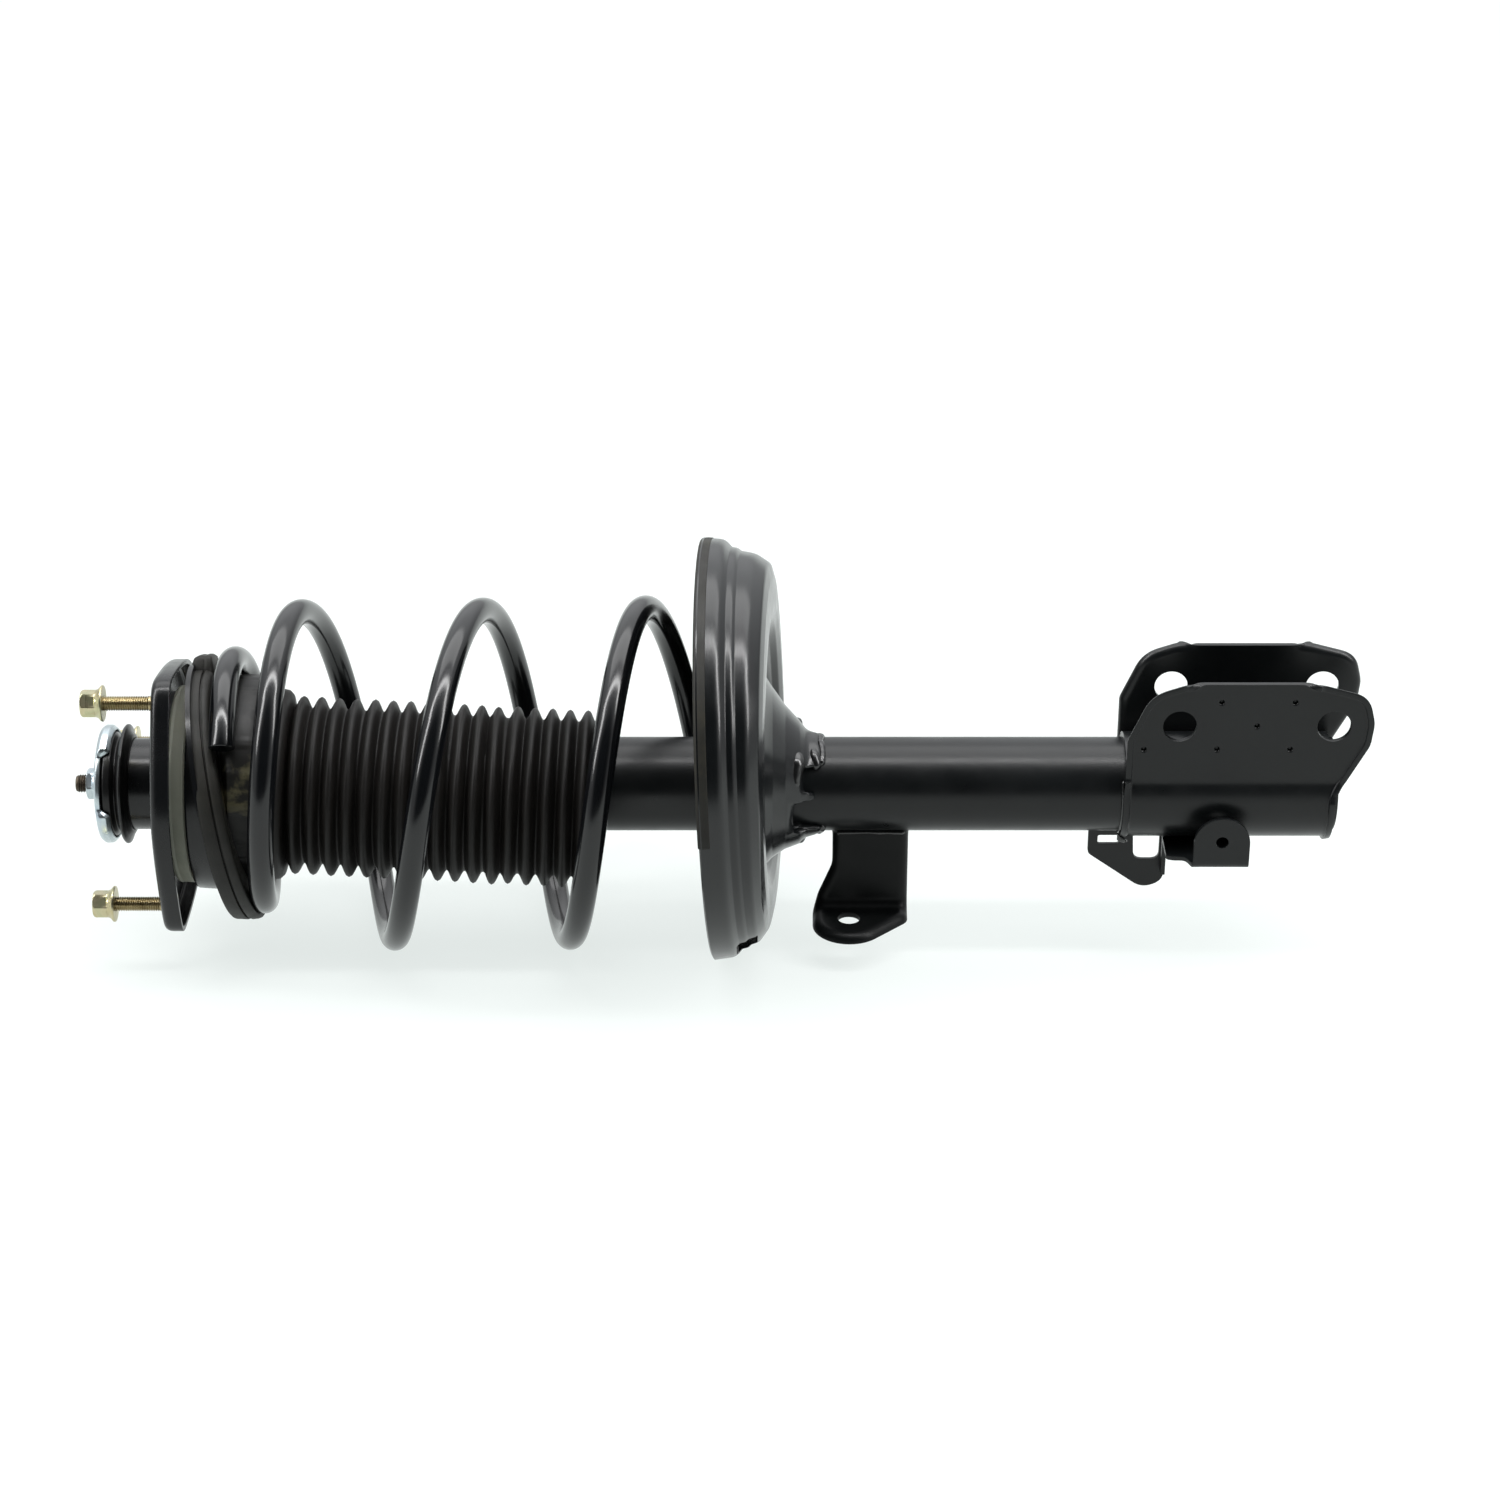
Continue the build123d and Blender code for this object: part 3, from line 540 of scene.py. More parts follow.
def washer():
    """The washer is a shallow cup, with two wide tabs curled over the rubber above and below."""
    hub = [(-34, 10.2, 1.2), (-34, 5.3, 0.3), (-36.1, 5.3, 0.3), (-36.1, 11.4, 1.6)]
    tabs = [(-35.8, 27, 2), (-35, 30.8, 1.5), (-33, 32.2, 1.5), (-29.8, 32.1, 1.2), (-27.8, 30.4, 0.5),
            (-27.6, 29.5, 0.3), (-28.4, 29.2, 0.4), (-31, 30.6, 1.2), (-32.6, 28.8, 1), (-32.6, 14.4, 1.2)]
    plain = [(-35.9, 27.2, 1), (-35.6, 28.3, 0.6), (-34.9, 28.9, 0.5), (-34, 29, 0.4), (-33.1, 28.9, 0.3),
             (-32.7, 28.6, 0.2), (-32.6, 28.1, 0.2), (-32.6, 27.6, 0.2), (-32.6, 27, 0.2), (-32.6, 14.4, 1.2)]
    a, b = rounded(hub + tabs, steps=5), rounded(hub + plain, steps=5)

    def warp(_x, _r, angles):
        tab = smooth((62 - np.minimum(apart(angles, 118), apart(angles, -62))) / 8)
        return b[:, :1] + (a[:, :1] - b[:, :1]) * tab, b[:, 1:] + (a[:, 1:] - b[:, 1:]) * tab

    return lathe(a, 240, warp=warp)


def build_top_mount():
    # the sheet's section: x, and how far in from the lobed outline
    sheet = [(0, 44, 0), (0, 0, 5.2), (10.5, 0, 0.7), (10.5, 2.8, 0.7), (2.8, 2.8, 2.6), (2.8, 44, 0)]
    sheet = rounded(sheet, steps=6)
    turn = around(full_turn(288))
    rings = [mount_ring(x, inset) if inset < 30 else turn * 40 + [x, 0, 0] for x, inset in sheet]
    plate = mesh_of("mount_plate_pressing", grid(rings), "mount_black_paint", 50)
    for stud in STUDS:
        cut(plate, tube([stud + [x, 0, 0] for x in (-2, 1, 5)], 4.35, 32))
    shade(plate, 50)
    fit(plate, "top_mount", "mount_black_paint", "mount_plate")
    # the drawn neck, whose flange closes the plate's middle
    neck = [(-19.8, 15, 0.4), (-21, 15.4, 0.4), (-21, 23.8, 1.3), (-20, 24.8, 1), (-1.8, 24.8, 2.2),
            (-0.15, 27.3, 1.5), (-0.15, 44.6, 0.3), (5.3, 44.6, 0.3), (5.3, 22.6, 1), (-18.6, 22.6, 1),
            (-18.6, 15.2, 0.4)]
    turned("mount_neck", neck, "mount_black_paint", "top_mount", "bushing_cup", steps=5)
    spool = [(-32.4, 9.6, 0.5), (-32.4, 26.6, 1.2), (-31.2, 28.3, 1), (-27.6, 28.3, 1), (-26.6, 26.6, 0.8),
             (-25.8, 25.4, 0.7), (-24.6, 26.2, 0.8), (-23, 31.4, 0.7), (-22, 32.5, 0.7), (-20.9, 32.3, 0.6),
             (-19.8, 29.2, 1), (-18.2, 26.6, 0.8), (-18, 25, 0.3), (-21.1, 25, 0.4), (-21.1, 9.6, 0.4)]
    turned("stopper_spool_moulding", spool, "black_rubber", "top_mount", "stopper_spool", steps=5)
    piece("washer_pressing", washer(), "clear_zinc", "top_mount", "retainer_washer")
    nut = hex_nut(-43.9, -36.2, 15.0, 4.95, 8.8, 1.3, 38)
    piece("rod_nut_forged", nut, "clear_zinc", "top_mount", "rod_nut")
    tip = rounded([(-50, 0.01, 0), (-50, 4.1, 0.8), (-48.4, 4.7, 0.4), (-48.4, 0.01, 0)])
    rod_end = join(thread(-48.8, -33.5, 4.95, 1.25, 4.25), lathe(tip, 40))
    piece("rod_end_thread", rod_end, "ground_steel", "top_mount", look="dark_rod_end")
    studs, nuts = [], []
    shank = rounded([(-2.4, 0.01, 0), (-2.4, 3.95, 0.2), (3, 3.95, 0.1), (3, 6.6, 0.5), (6.4, 6.6, 0.8),
                     (6.4, 0.01, 0)])
    for stud, turn in zip(STUDS, (37, 41, 26)):
        at = (stud[1], stud[2])
        studs.append(thread(-37.2, -2.0, 3.98, 1.25, 3.4, at))
        studs.append(lathe(shank, 32, origin=stud))
        nuts.append(hex_nut(-38.5, -26.4, 13.0, 3.95, 9.75, 2.5, turn, at))
    piece("stud_threads", join(*studs), "yellow_zinc", "top_mount", "body_studs", look="stud_zinc")
    piece("flange_nuts", join(*nuts), "yellow_zinc", "top_mount", "stud_nuts")
    seal = [(6.7, 50.8, 0.3), (6.7, 53, 0.7), (8.2, 53.6, 0.5), (9.6, 53.2, 0.3), (15.6, 53.8, 0.8),
            (16.6, 52.6, 0.4), (16.6, 50.8, 0.3)]
    turned("dust_seal_ring", seal, "seal_plastic", "spring_seat", "dust_seal")


# --- upper spring seat and its rubber ---
SEAT_TOWARDS = 112.0
SEAT_Z = -6.0
RIM_R = 68.4
# x and lean in degrees of the pressed seat's face, and of the rubber's left and right faces
SEAT_FACE = (26.6, 8.6)
LEFT_FACE = (28.2, 9.2)
RIGHT_FACE = (38.5, 10.4)


def sloping(face, angle, r):
    """X of a leaning face at an angle and radius about the seat's centre."""
    x, lean = face
    return x - np.tan(math.radians(lean)) * r * np.cos(np.radians(angle - SEAT_TOWARDS))


def build_upper_seat():
    count = 300

    def drum_warp(x, r, angles):
        """The drum's open end follows the sloping face, its flange runs out to the rim."""
        face = sloping(SEAT_FACE, angles, r) - 0.4
        return np.where(x > 20, face + np.where(x > 30, 0.0, -2.6), x), r

    drum = rounded([(16.8, 27.5, 0.8), (16.8, 56.5, 2), (19.6, 56.7, 0.4), (25, 57.6, 0.5), (25, 65.6, 0.6),
                    (33, 65.6, 0.6), (33, 54.2, 0.5), (19.8, 53.5, 0.4), (19.6, 53.5, 1), (19.6, 27.5, 0.8)])
    part = lathe(drum, count, warp=drum_warp)
    piece("upper_seat_pressing", part, "mount_black_paint", "spring_seat", "upper_spring_seat", sharp=45)

    angles = full_turn(count)
    turns = ((angles - TIP_ANGLE) / 360) % 1
    wire_x, wire_r, wire_z = station(turns, 1), station(turns, 2), station(turns, 3)
    # the wire's ring seen from the rubber's own centre
    wire_r = wire_r + (wire_z - SEAT_Z) * np.sin(np.radians(angles))
    lug = smooth((10.5 - apart(angles, 115)) / 1.6)
    rim = np.full(count, RIM_R)
    left = sloping(LEFT_FACE, angles, RIM_R)
    right = sloping(RIGHT_FACE, angles, RIM_R)
    seam = left + (right - left) * 0.47
    # rings of (x, radius), from the back face round the rim, the seam and the front to the collar
    rows = [(left - 2.9, 58.4), (left - 3.3, 59.2), (left - 3.4, rim - 3.0)]
    for s in (0.1, 0.35, 0.65, 0.9):
        a = s * math.pi / 2
        rows.append((left - 3.4 + 2.2 * (1 - math.cos(a)), rim - 2.2 + 2.2 * math.sin(a) + lug * 6.6 * s))
    rows.append((left + 0.6, rim + lug * 7.0))
    for x, r, out in ((-1.5, 0.2, 7.2), (-0.7, -0.1, 7.3), (-0.45, -1.5, 8.6), (0.35, -1.5, 8.7),
                      (0.6, -0.2, 7.5), (1.4, 0.1, 7.5)):
        rows.append((seam + x, rim + r + lug * out))
    rows += [(right - 2.2, rim - 0.2 + lug * 7.8), (right - 0.9, rim - 0.7 + lug * 7.4)]
    for r in np.linspace(RIM_R - 1.6, 57.4, 16):
        plane = sloping(RIGHT_FACE, angles, r)
        depth = (WIRE_R + 0.25) ** 2 - (r - wire_r) ** 2
        groove = wire_x - np.sqrt(np.maximum(depth, 0))
        rows.append((np.where(depth > 0, np.minimum(plane, groove), plane), r))
    ridge = 0.35 * (np.sin(np.radians(angles) * 22) > 0.55)
    collar_z = (3.0 - SEAT_Z) * np.sin(np.radians(angles))
    for x, r in ((40, 57.3), (44, 57.2), (50, 56.9), (54.6, 56.6), (55.9, 55.6), (55.9, 54.4), (54, 53.4),
                 (30, 53.4)):
        x_ring = np.maximum(x, rows[-1][0] * (x < 46))
        rows.append((x_ring, r + ridge * (x < 55) * (r > 56) + collar_z * 0.9))
    part = grid([ring(x, r, angles, (0, SEAT_Z)) for x, r in rows])
    rubber_piece = piece("upper_rubber", part, "olive_rubber", "spring_seat", "upper_insulator", sharp=50)
    rubber_piece.data.materials.append(LOOKS["collar_rubber"])
    for face in rubber_piece.data.polygons:
        c = Vector(face.center) / MM
        if math.hypot(c.y, c.z - 2.0) < 58.5 and c.x > 34 - 0.14 * c.z:
            face.material_index = 1


# --- dust boot ---
def build_boot():
    folds, pitch, first_x = 17, 9.65, 2.6
    droop = math.radians(3.3)
    axis = (math.cos(droop), 0, -math.sin(droop))
    middle = [(-6.5, 52.6), (-4.5, 51.2), (-0.8, 50.6), (0.6, 49.2), (1.6, 44.5)]
    step = 12
    for n in range(folds * step + 1):
        s = n / step
        peak = (0.5 - 0.5 * math.cos(TAU * s)) ** 1.15
        middle.append((first_x + pitch * s + 0.125 * math.sin(TAU * s), 41.4 + 6.3 * peak))
    middle += [(first_x + pitch * folds + more, 41.0) for more in (1.2, 2.6)]
    wobble = RNG.normal(0, 1, (folds + 2, 4))

    def sag(x, r, angles):
        """Every fold is a little different: squeezed here, pulled there."""
        place = np.clip((x - first_x) / pitch, 0, folds)
        fold = np.clip(place.astype(int), 0, folds)
        a = np.radians(angles)
        uneven = (wobble[fold, 0] * np.cos(a) + wobble[fold, 1] * np.sin(a)
                  + 0.5 * wobble[fold, 2] * np.cos(2 * a))
        ripple = 0.12 * np.sin(5 * a + wobble[fold, 3] * 3)
        free = smooth(place / 3)
        return x + 0.22 * uneven * free, r + free * (0.16 * uneven + ripple) * (r > 44)

    part = lathe(strip(middle, 1.6), 200, origin=(64, 0, -0.5), axis=axis, warp=sag)
    boot = piece("boot_bellows", part, "boot_rubber", "spring_seat", "dust_boot", sharp=60)
    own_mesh(boot)


# --- spring ---
def build_spring():
    # both ends are cut square, with a small round edge
    tip, edge = np.array([0, 0.0002, 0.0006, 0.0012]), (5.9, 6.5, 6.85, 6.97)
    turns = np.concatenate([tip, np.linspace(0.002, WIRE_TURNS - 0.002, 640), WIRE_TURNS - tip[::-1]])
    radius = np.full(len(turns), WIRE_R)
    radius[:4], radius[-4:] = edge, edge[::-1]
    obj = mesh_of("spring_wire", tube(wire(turns), radius, 40), "spring_black_coat", 40)
    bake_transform(obj)
    # for each point, the turn of the nearest place on the wire's middle: one value for each slice of wire
    co = np.array([v.co for v in obj.data.vertices]) / MM
    fine = np.linspace(0, WIRE_TURNS, 4501)
    line = wire(fine)
    nearest = np.empty(len(co))
    for start in range(0, len(co), 2000):
        part = co[start:start + 2000]
        distance = ((part[:, None] - line[None]) ** 2).sum(-1)
        nearest[start:start + 2000] = fine[distance.argmin(1)]
    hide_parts("coil_spring")


# --- lower seat ---
SEAT_LEAN, SEAT_LEAN_TO = math.radians(3.4), 54.0
SEAT_CENTRE = np.array([294.5, 0, 21.5])
SEAT_NORMAL = np.array([1, 0, 0]) * math.cos(SEAT_LEAN) + around(SEAT_LEAN_TO) * math.sin(SEAT_LEAN)
# the middle of the dish's sheet: depth, radius and corner radius
DISH = [(0, 112.6, 3), (10.6, 111.4, 5.5), (14.2, 107.2, 3), (17.4, 106.6, 2.4), (19.2, 105, 2.2),
        (24.6, 103.6, 6), (29.8, 98.4, 3.5), (31.4, 92, 4), (31.8, 84, 4), (31.8, 76, 4), (30, 70, 4),
        (27.2, 66, 4), (26, 60, 4)]
# how the dish's floor climbs: angles in degrees, and depth there
FLOOR_TURN = [-102, -60, -20, 28, 118, 208, 255, 300, 340, 388]
FLOOR_RISE = [0, -2.9, -2, 0, 4.4, 3.7, 0, -2.9, -2, 0]
# the collar's notches: middle and half width in degrees, depth
NOTCHES = ((32, 15, 9), (-10, 20, 14), (13, 13, 3.6), (121, 12, 6.2), (211, 12, 6.2), (301, 11, 6.2))


def dish_points(w, r, angles):
    """Points of the dish: depth along its leaning axis, radius. Its floor climbs round with the wire."""
    out = around(angles)
    out = unit(out - (out @ SEAT_NORMAL)[:, None] * SEAT_NORMAL)
    w = w + np.interp(angles, FLOOR_TURN, FLOOR_RISE) * smooth((w - 20) / 12)
    w = np.multiply.outer(np.broadcast_to(w, angles.shape), SEAT_NORMAL)
    return SEAT_CENTRE + w + out * np.reshape(r, (-1, 1))


def collar_end(angles):
    """X of the collar's ragged end, with its U-shaped notches."""
    depth = np.zeros(len(angles))
    for centre, half, cut_back in NOTCHES:
        depth = np.maximum(depth, cut_back * (1 - smooth((apart(angles, centre) - half + 4) / 7)))
    return 353.6 + 0.5 * np.sin(np.radians(angles) * 7) - depth


def build_lower_seat():
    count = 288
    angles = full_turn(count)
    middle = rounded(DISH, closed=False, steps=5)
    along = unit(np.gradient(middle, axis=0))
    across = np.stack([along[:, 1], -along[:, 0]], -1) * 1.5
    outer, inner = middle - across, middle + across
    end = collar_end(angles)
    line = rounded([(321.4, 55.7), (328, 46.4), (335, 39.2), (342.8, 33.6), (346.6, 29.6), (350, 28.6)],
                   9, False, 8)
    steps = np.linspace(0, len(line) - 1, 36)
    cone = sample(steps, range(len(line)), line)
    height = 9.0 * (1 - smooth((cone[:, 0] - 319) / 31))

    def cone_ring(x, r, z):
        """A ring of the hub, which bends softly into the collar's ragged end."""
        return ring(end - 1.1 * np.log1p(np.exp((end - x) / 1.1)), r, angles, (0, z))

    rings = [dish_points(w, r, angles) for w, r in outer]
    base = dish_points(np.full(count, 27.5), 59.0, angles)
    first = cone_ring(*cone[0], height[0])
    for share in (0.35, 0.7):
        rings.append(base * (1 - share) + first * share - [0.6 * math.sin(share * math.pi), 0, 0])
    rings += [cone_ring(x, r, z) for (x, r), z in zip(cone, height)]
    for share, r in ((0.3, 28.4), (0.6, 28.1), (0.85, 27.6), (1, 26.9), (1, 25.7), (0.5, 25.7),
                     (0.0, 25.7)):
        rings.append(ring(np.minimum(end, 350 + (end - 350) * share), r, angles))
    rings += [cone_ring(x - 3.4, max(r - 2.2, 25.7), z) for (x, r), z in zip(cone[::-1], height[::-1])]
    rings += [dish_points(w, r, angles) for w, r in inner[::-1]]
    rings.append((rings[-1] + rings[0]) / 2 + np.array([-0.7, 0, 0]))
    seat = mesh_of("lower_seat_pressing", grid(rings), "seat_black_paint", 45)
    # the drain slot in the lowest wall
    out = around(-50.5)
    side = np.cross([1, 0, 0], out)
    slot = rounded([(-5.6, -11), (5.6, -11), (5.6, 11), (-5.6, 11)], 1.5, steps=3)
    layers = [[SEAT_CENTRE + np.array([20 + a, 0, 0]) + side * b + out * r for a, b in slot]
              for r in (92, 107, 124)]
    cut(seat, grid(layers, False))
    shade(seat, 40)
    fit(seat, "strut_body", "seat_black_paint", "lower_spring_seat")
    build_lower_rubber(inner)
    build_collar_weld()


def build_lower_rubber(inner):
    """Rubber lining of the dish, over the top from the far side to the near, with a lip over its rim."""
    angles = np.linspace(1.0, 234.0, 200)
    middle_x, _, middle_z = SEAT_CENTRE
    line = wire(np.linspace(3.45, WIRE_TURNS, 400))
    line_angle = np.degrees(np.arctan2(line[:, 2] - middle_z, -line[:, 1])) % 360
    seat_x = middle_x - np.tan(SEAT_LEAN) * 91.5 * np.cos(np.radians(line_angle - SEAT_LEAN_TO))
    order = np.argsort(line_angle)
    wire_w = np.interp(angles, line_angle[order], (line[:, 0] - seat_x)[order])
    wire_r = np.interp(angles, line_angle[order], np.hypot(line[:, 1], line[:, 2] - middle_z)[order])
    rows = [(4.6, 112.8), (5.2, 113.3), (4.8, 113.9), (2, 114.1), (-0.4, 113.9), (-1.2, 113.2),
            (-1.4, 111.8), (-1, 110.2), (0.8, 109.2), (4, 108.8)]
    for r in np.linspace(107.6, 80, 26):
        skin = np.interp(-r, -inner[:, 1], inner[:, 0])
        pad = min(skin - 1.2, 24.0)
        depth = (WIRE_R + 0.3) ** 2 - (r - wire_r) ** 2
        groove = wire_w + np.sqrt(np.maximum(depth, 0))
        rows.append((np.minimum(np.where(depth > 0, groove, pad), skin - 0.6), r))
    rows.append((29.6, 79.0))
    rows += [(w - 0.15, r - 0.15) for w, r in inner[::-1] if r > 79.5]
    rings = [dish_points(*np.broadcast_arrays(w, r, angles)) for w, r in rows]
    # it stops short of a full turn, so its sections are the rings here, with both ends capped
    part = grid(np.swapaxes(rings, 0, 1), False)
    piece("lower_rubber", part, "olive_rubber", "strut_body", "lower_insulator", sharp=50)


def bead(path, radius, lumps, pitch, count=14):
    """A weld bead: a bar with overlapping ripples and uneven lumps."""
    path = np.asarray(path, float)
    length = run_along(path)
    ripple = 0.05 * (0.5 - 0.5 * np.cos(length / pitch * TAU))
    places = np.arange(0, length[-1] + 9, 4.5)
    lump = np.interp(length, places, RNG.normal(0, 1, len(places)))
    r = radius * (1 + ripple + lumps * 0.25 * lump)
    ends = np.minimum(length, length[-1] - length)
    r = r * np.sqrt(np.clip(ends / radius, 0.04, 1))
    return tube(path, np.maximum(r, 0.15), count)


def build_collar_weld():
    parts = []
    for start, stop in ((50, 110), (132, 200), (222, 290), (312, 327)):
        a = np.linspace(start, stop, (stop - start) * 2)
        parts.append(bead(ring(collar_end(a) + 0.6, TUBE_R + 0.1, a), 2.1, 0.6, 3.4, count=20))
    # heavy blobs on the hub's edge, by the notches, whose ends dive into the hub
    for start, stop, x, r, fat in (
            (45, 76, 350.4, 26.6, 3), (22, 60, 340, 33.4, 4.4), (-74, -44, 343, 29.4, 3),
            (121, 134, 341, 33.6, 3), (202, 220, 350, 27.6, 2.4)):
        a = np.linspace(start, stop, 36)
        lump = ring(x + 0.8 * np.sin(np.radians(a) * 9), r - 3.2 * np.linspace(-1, 1, 36) ** 2, a)
        parts.append(bead(lump, fat, 0.2, 6.0, count=24))
    piece("collar_weld", join(*parts), "weld_bead", "strut_body", "seat_welds", sharp=60)


# --- pressed brackets ---
def even(loop, spacing):
    """A closed outline with evenly spaced points, anticlockwise."""
    area = (loop[:, 0] * np.roll(loop[:, 1], -1) - loop[:, 1] * np.roll(loop[:, 0], -1)).sum()
    loop = loop if area > 0 else loop[::-1]
    closed = np.concatenate([loop, loop[:1]])
    run = run_along(closed)
    places = np.linspace(0, run[-1], int(run[-1] / spacing), endpoint=False)
    return sample(places, run, closed)


def inside(points, loop):
    """Which points lie within a closed outline."""
    a, b = loop[None], np.roll(loop, -1, 0)[None]
    x, y = points[:, None, 0], points[:, None, 1]
    rise = np.where(b[..., 1] == a[..., 1], 1e-9, b[..., 1] - a[..., 1])
    left = x < (b[..., 0] - a[..., 0]) * (y - a[..., 1]) / rise + a[..., 0]
    return (((a[..., 1] > y) != (b[..., 1] > y)) & left).sum(1) % 2 == 1


def disc(x, y, r, count=56):
    """Points of a circle, from its middle and radius."""
    a = np.linspace(0, TAU, count, endpoint=False)
    return np.stack([x + r * np.cos(a), y + r * np.sin(a)], -1)


def beside(values):
    """The sum of both neighbours of each value in a closed loop."""
    return np.roll(values, 1, 0) + np.roll(values, -1, 0)


def pressing(outline, fold, holes=(), pits=(), lip=None, bend=2.5, lip_height=4.1, thick=3.0, step=2.4,
             spacing=1.6):
    """A pressed sheet from its flat blank: holes, small pits and a turned edge, then bent to shape by fold.
    lip gives how far each point of the outline is turned, 1 to the front and -1 to the back."""
    loop = even(outline, spacing)
    count = len(loop)
    forward = unit(np.roll(loop, -1, 0) - np.roll(loop, 1, 0))
    inward = np.stack([-forward[:, 1], forward[:, 0]], -1)
    amount = np.zeros(count) if lip is None else lip(loop)
    for _ in range(3):
        inward = unit(inward + beside(inward))
        amount = (amount + beside(amount)) / 3
    turn = np.radians([0, 20, 40, 60, 80, 90])
    half = thick / 2
    bent = [(bend + half + 1, 0)]
    bent += [(bend + half - bend * math.sin(t), bend * (1 - math.cos(t))) for t in turn]
    bent.append((half, lip_height))
    plain = np.linspace(bent[0][0], 0, len(bent))
    # rows along the turned edge, then round each hole and pit, then a regular field of points between them
    flat, rise = [], []
    for (d1, up), d0 in zip(bent, plain):
        d = d0 * (1 - np.abs(amount)) + d1 * np.abs(amount)
        flat += list(loop + inward * d[:, None])
        rise += list(up * amount)
    first = len(flat) - count
    edges = [(first + i, first + (i + 1) % count) for i in range(count)]
    for hole in holes:
        middle = hole.mean(0)
        size = size_of(hole - middle).mean()
        start = len(flat)
        edges += [(start + i, start + (i + 1) % len(hole)) for i in range(len(hole))]
        for more in (0, 0.5, 1.4, 3.0):
            flat += list(middle + (hole - middle) * (1 + more / size))
    for x, y in pits:
        for r in (0.0, 0.7, 1.1, 1.5, 2.0, 2.6):
            flat += list(disc(x, y, r, 16 if r else 1))
    low, high = loop.min(0), loop.max(0)
    field = np.array([(x, y + (i % 2) * step / 2) for i, x in enumerate(np.arange(low[0], high[0], step))
                      for y in np.arange(low[1], high[1], step)])

    def clear_of(line):
        return size_of(field[:, None] - line[None]).min(1)

    keep = inside(field, loop) & (clear_of(loop) > bent[0][0] + 1.0)
    for hole in holes:
        keep &= ~inside(field, hole) & (clear_of(hole) > 4)
    for pit in pits:
        keep &= size_of(field - pit) > 3.4
    flat = np.array(flat + list(field[keep]))
    rise += [0.0] * (len(flat) - len(rise))
    points, _, faces, sources, _, _ = delaunay_2d_cdt([Vector(q) for q in flat], edges, [], 0, 1e-5)
    points = np.array([list(q) for q in points])
    rise = np.array([rise[ids[0]] if ids else 0.0 for ids in sources])
    lookup = {k: i for i, ids in enumerate(sources) for k in ids}
    border = points[[lookup[first + i] for i in range(count)]]
    centres = np.array([points[list(f)].mean(0) for f in faces])
    kept = inside(centres, border)
    for hole in holes:
        kept &= ~inside(centres, hole)
    faces = [tuple(f) for f, k in zip(faces, kept) if k]
    place, facing = fold(points)
    place = place + facing * rise[:, None]
    pitted = np.zeros(len(points))
    for pit in pits:
        pitted = np.maximum(pitted, 1 - smooth((size_of(points - pit) - 0.8) / 0.9))
    # the middle sheet's own normals carry it to both faces
    work = bmesh.new()
    verts = [work.verts.new(q) for q in place]
    for face in faces:
        work.faces.new([verts[i] for i in face])
    bmesh.ops.recalc_face_normals(work, faces=work.faces)
    work.normal_update()
    used = sorted({i for f in faces for i in f})
    normal = np.array([list(v.normal) for v in verts])
    if (normal[used] * facing[used]).sum() < 0:
        normal = -normal
    work.free()
    number = {i: n for n, i in enumerate(used)}
    total = len(used)
    front = place[used] + normal[used] * (half - 2.0 * pitted[used])[:, None]
    back = place[used] - normal[used] * half
    shell = [tuple(number[i] for i in f) for f in faces]
    shell += [tuple(number[i] + total for i in reversed(f)) for f in faces]
    rim = {}
    for f in faces:
        for a, b in zip(f, f[1:] + f[:1]):
            key = (min(a, b), max(a, b))
            rim[key] = None if key in rim else (number[a], number[b])
    shell += [(b, a, a + total, b + total) for a, b in (e for e in rim.values() if e)]
    return np.concatenate([front, back]), shell


def bent_path(path):
    """A fold along a path of (y, z) points: the blank's second number runs along the path."""
    path = np.asarray(path, float)
    run = run_along(path)
    slope = unit(np.gradient(path, run, axis=0))

    def fold(points):
        y, z, along_y, along_z = sample(points[:, 1], run, np.hstack([path, slope])).T
        facing = unit(np.stack([np.zeros(len(points)), along_z, -along_y], -1))
        return np.stack([points[:, 0], y, z], -1), facing

    return fold, run


def arc(centre, radius, start, end, count=12):
    """Points of an arc in (y, z), angles in degrees from +Y towards +Z."""
    a = np.radians(np.linspace(start, end, count))
    return [(centre[0] + radius * math.cos(t), centre[1] + radius * math.sin(t)) for t in a]


def bracket(name, part, width, node, look="satin_black_paint"):
    """A pressed bracket on the tube, with its edges broken."""
    obj = mesh_of(name, part, look, 50)
    bevel(obj, width)
    fit(obj, "strut_body", "satin_black_paint", node)


# the ear's outline: x, height, corner radius
EAR_TOP = 72.8
EAR = [(517, 40, 8), (528.5, 66.5, 20), (547, EAR_TOP, 16), (619, EAR_TOP, 22), (644, 66, 16),
       (648, 50, 18), (646.6, 37, 14), (629.5, 4.5, 12)]
# the middle of the sheet: its radius round the tube, and how far each ear stands from the middle plane
WRAP_R, EAR_Y = 27.0, 23.5
CREASE_Z = math.sqrt(WRAP_R ** 2 - EAR_Y ** 2)
HOLE_XS, HOLE_Z, HOLE_R = (544.5, 626.5), 48.0, 9.0
PITS = ((526, 34.2), (565, 34.2), (604, 34.2), (566, 62.3), (605, 62.3), (585.5, 48.2))


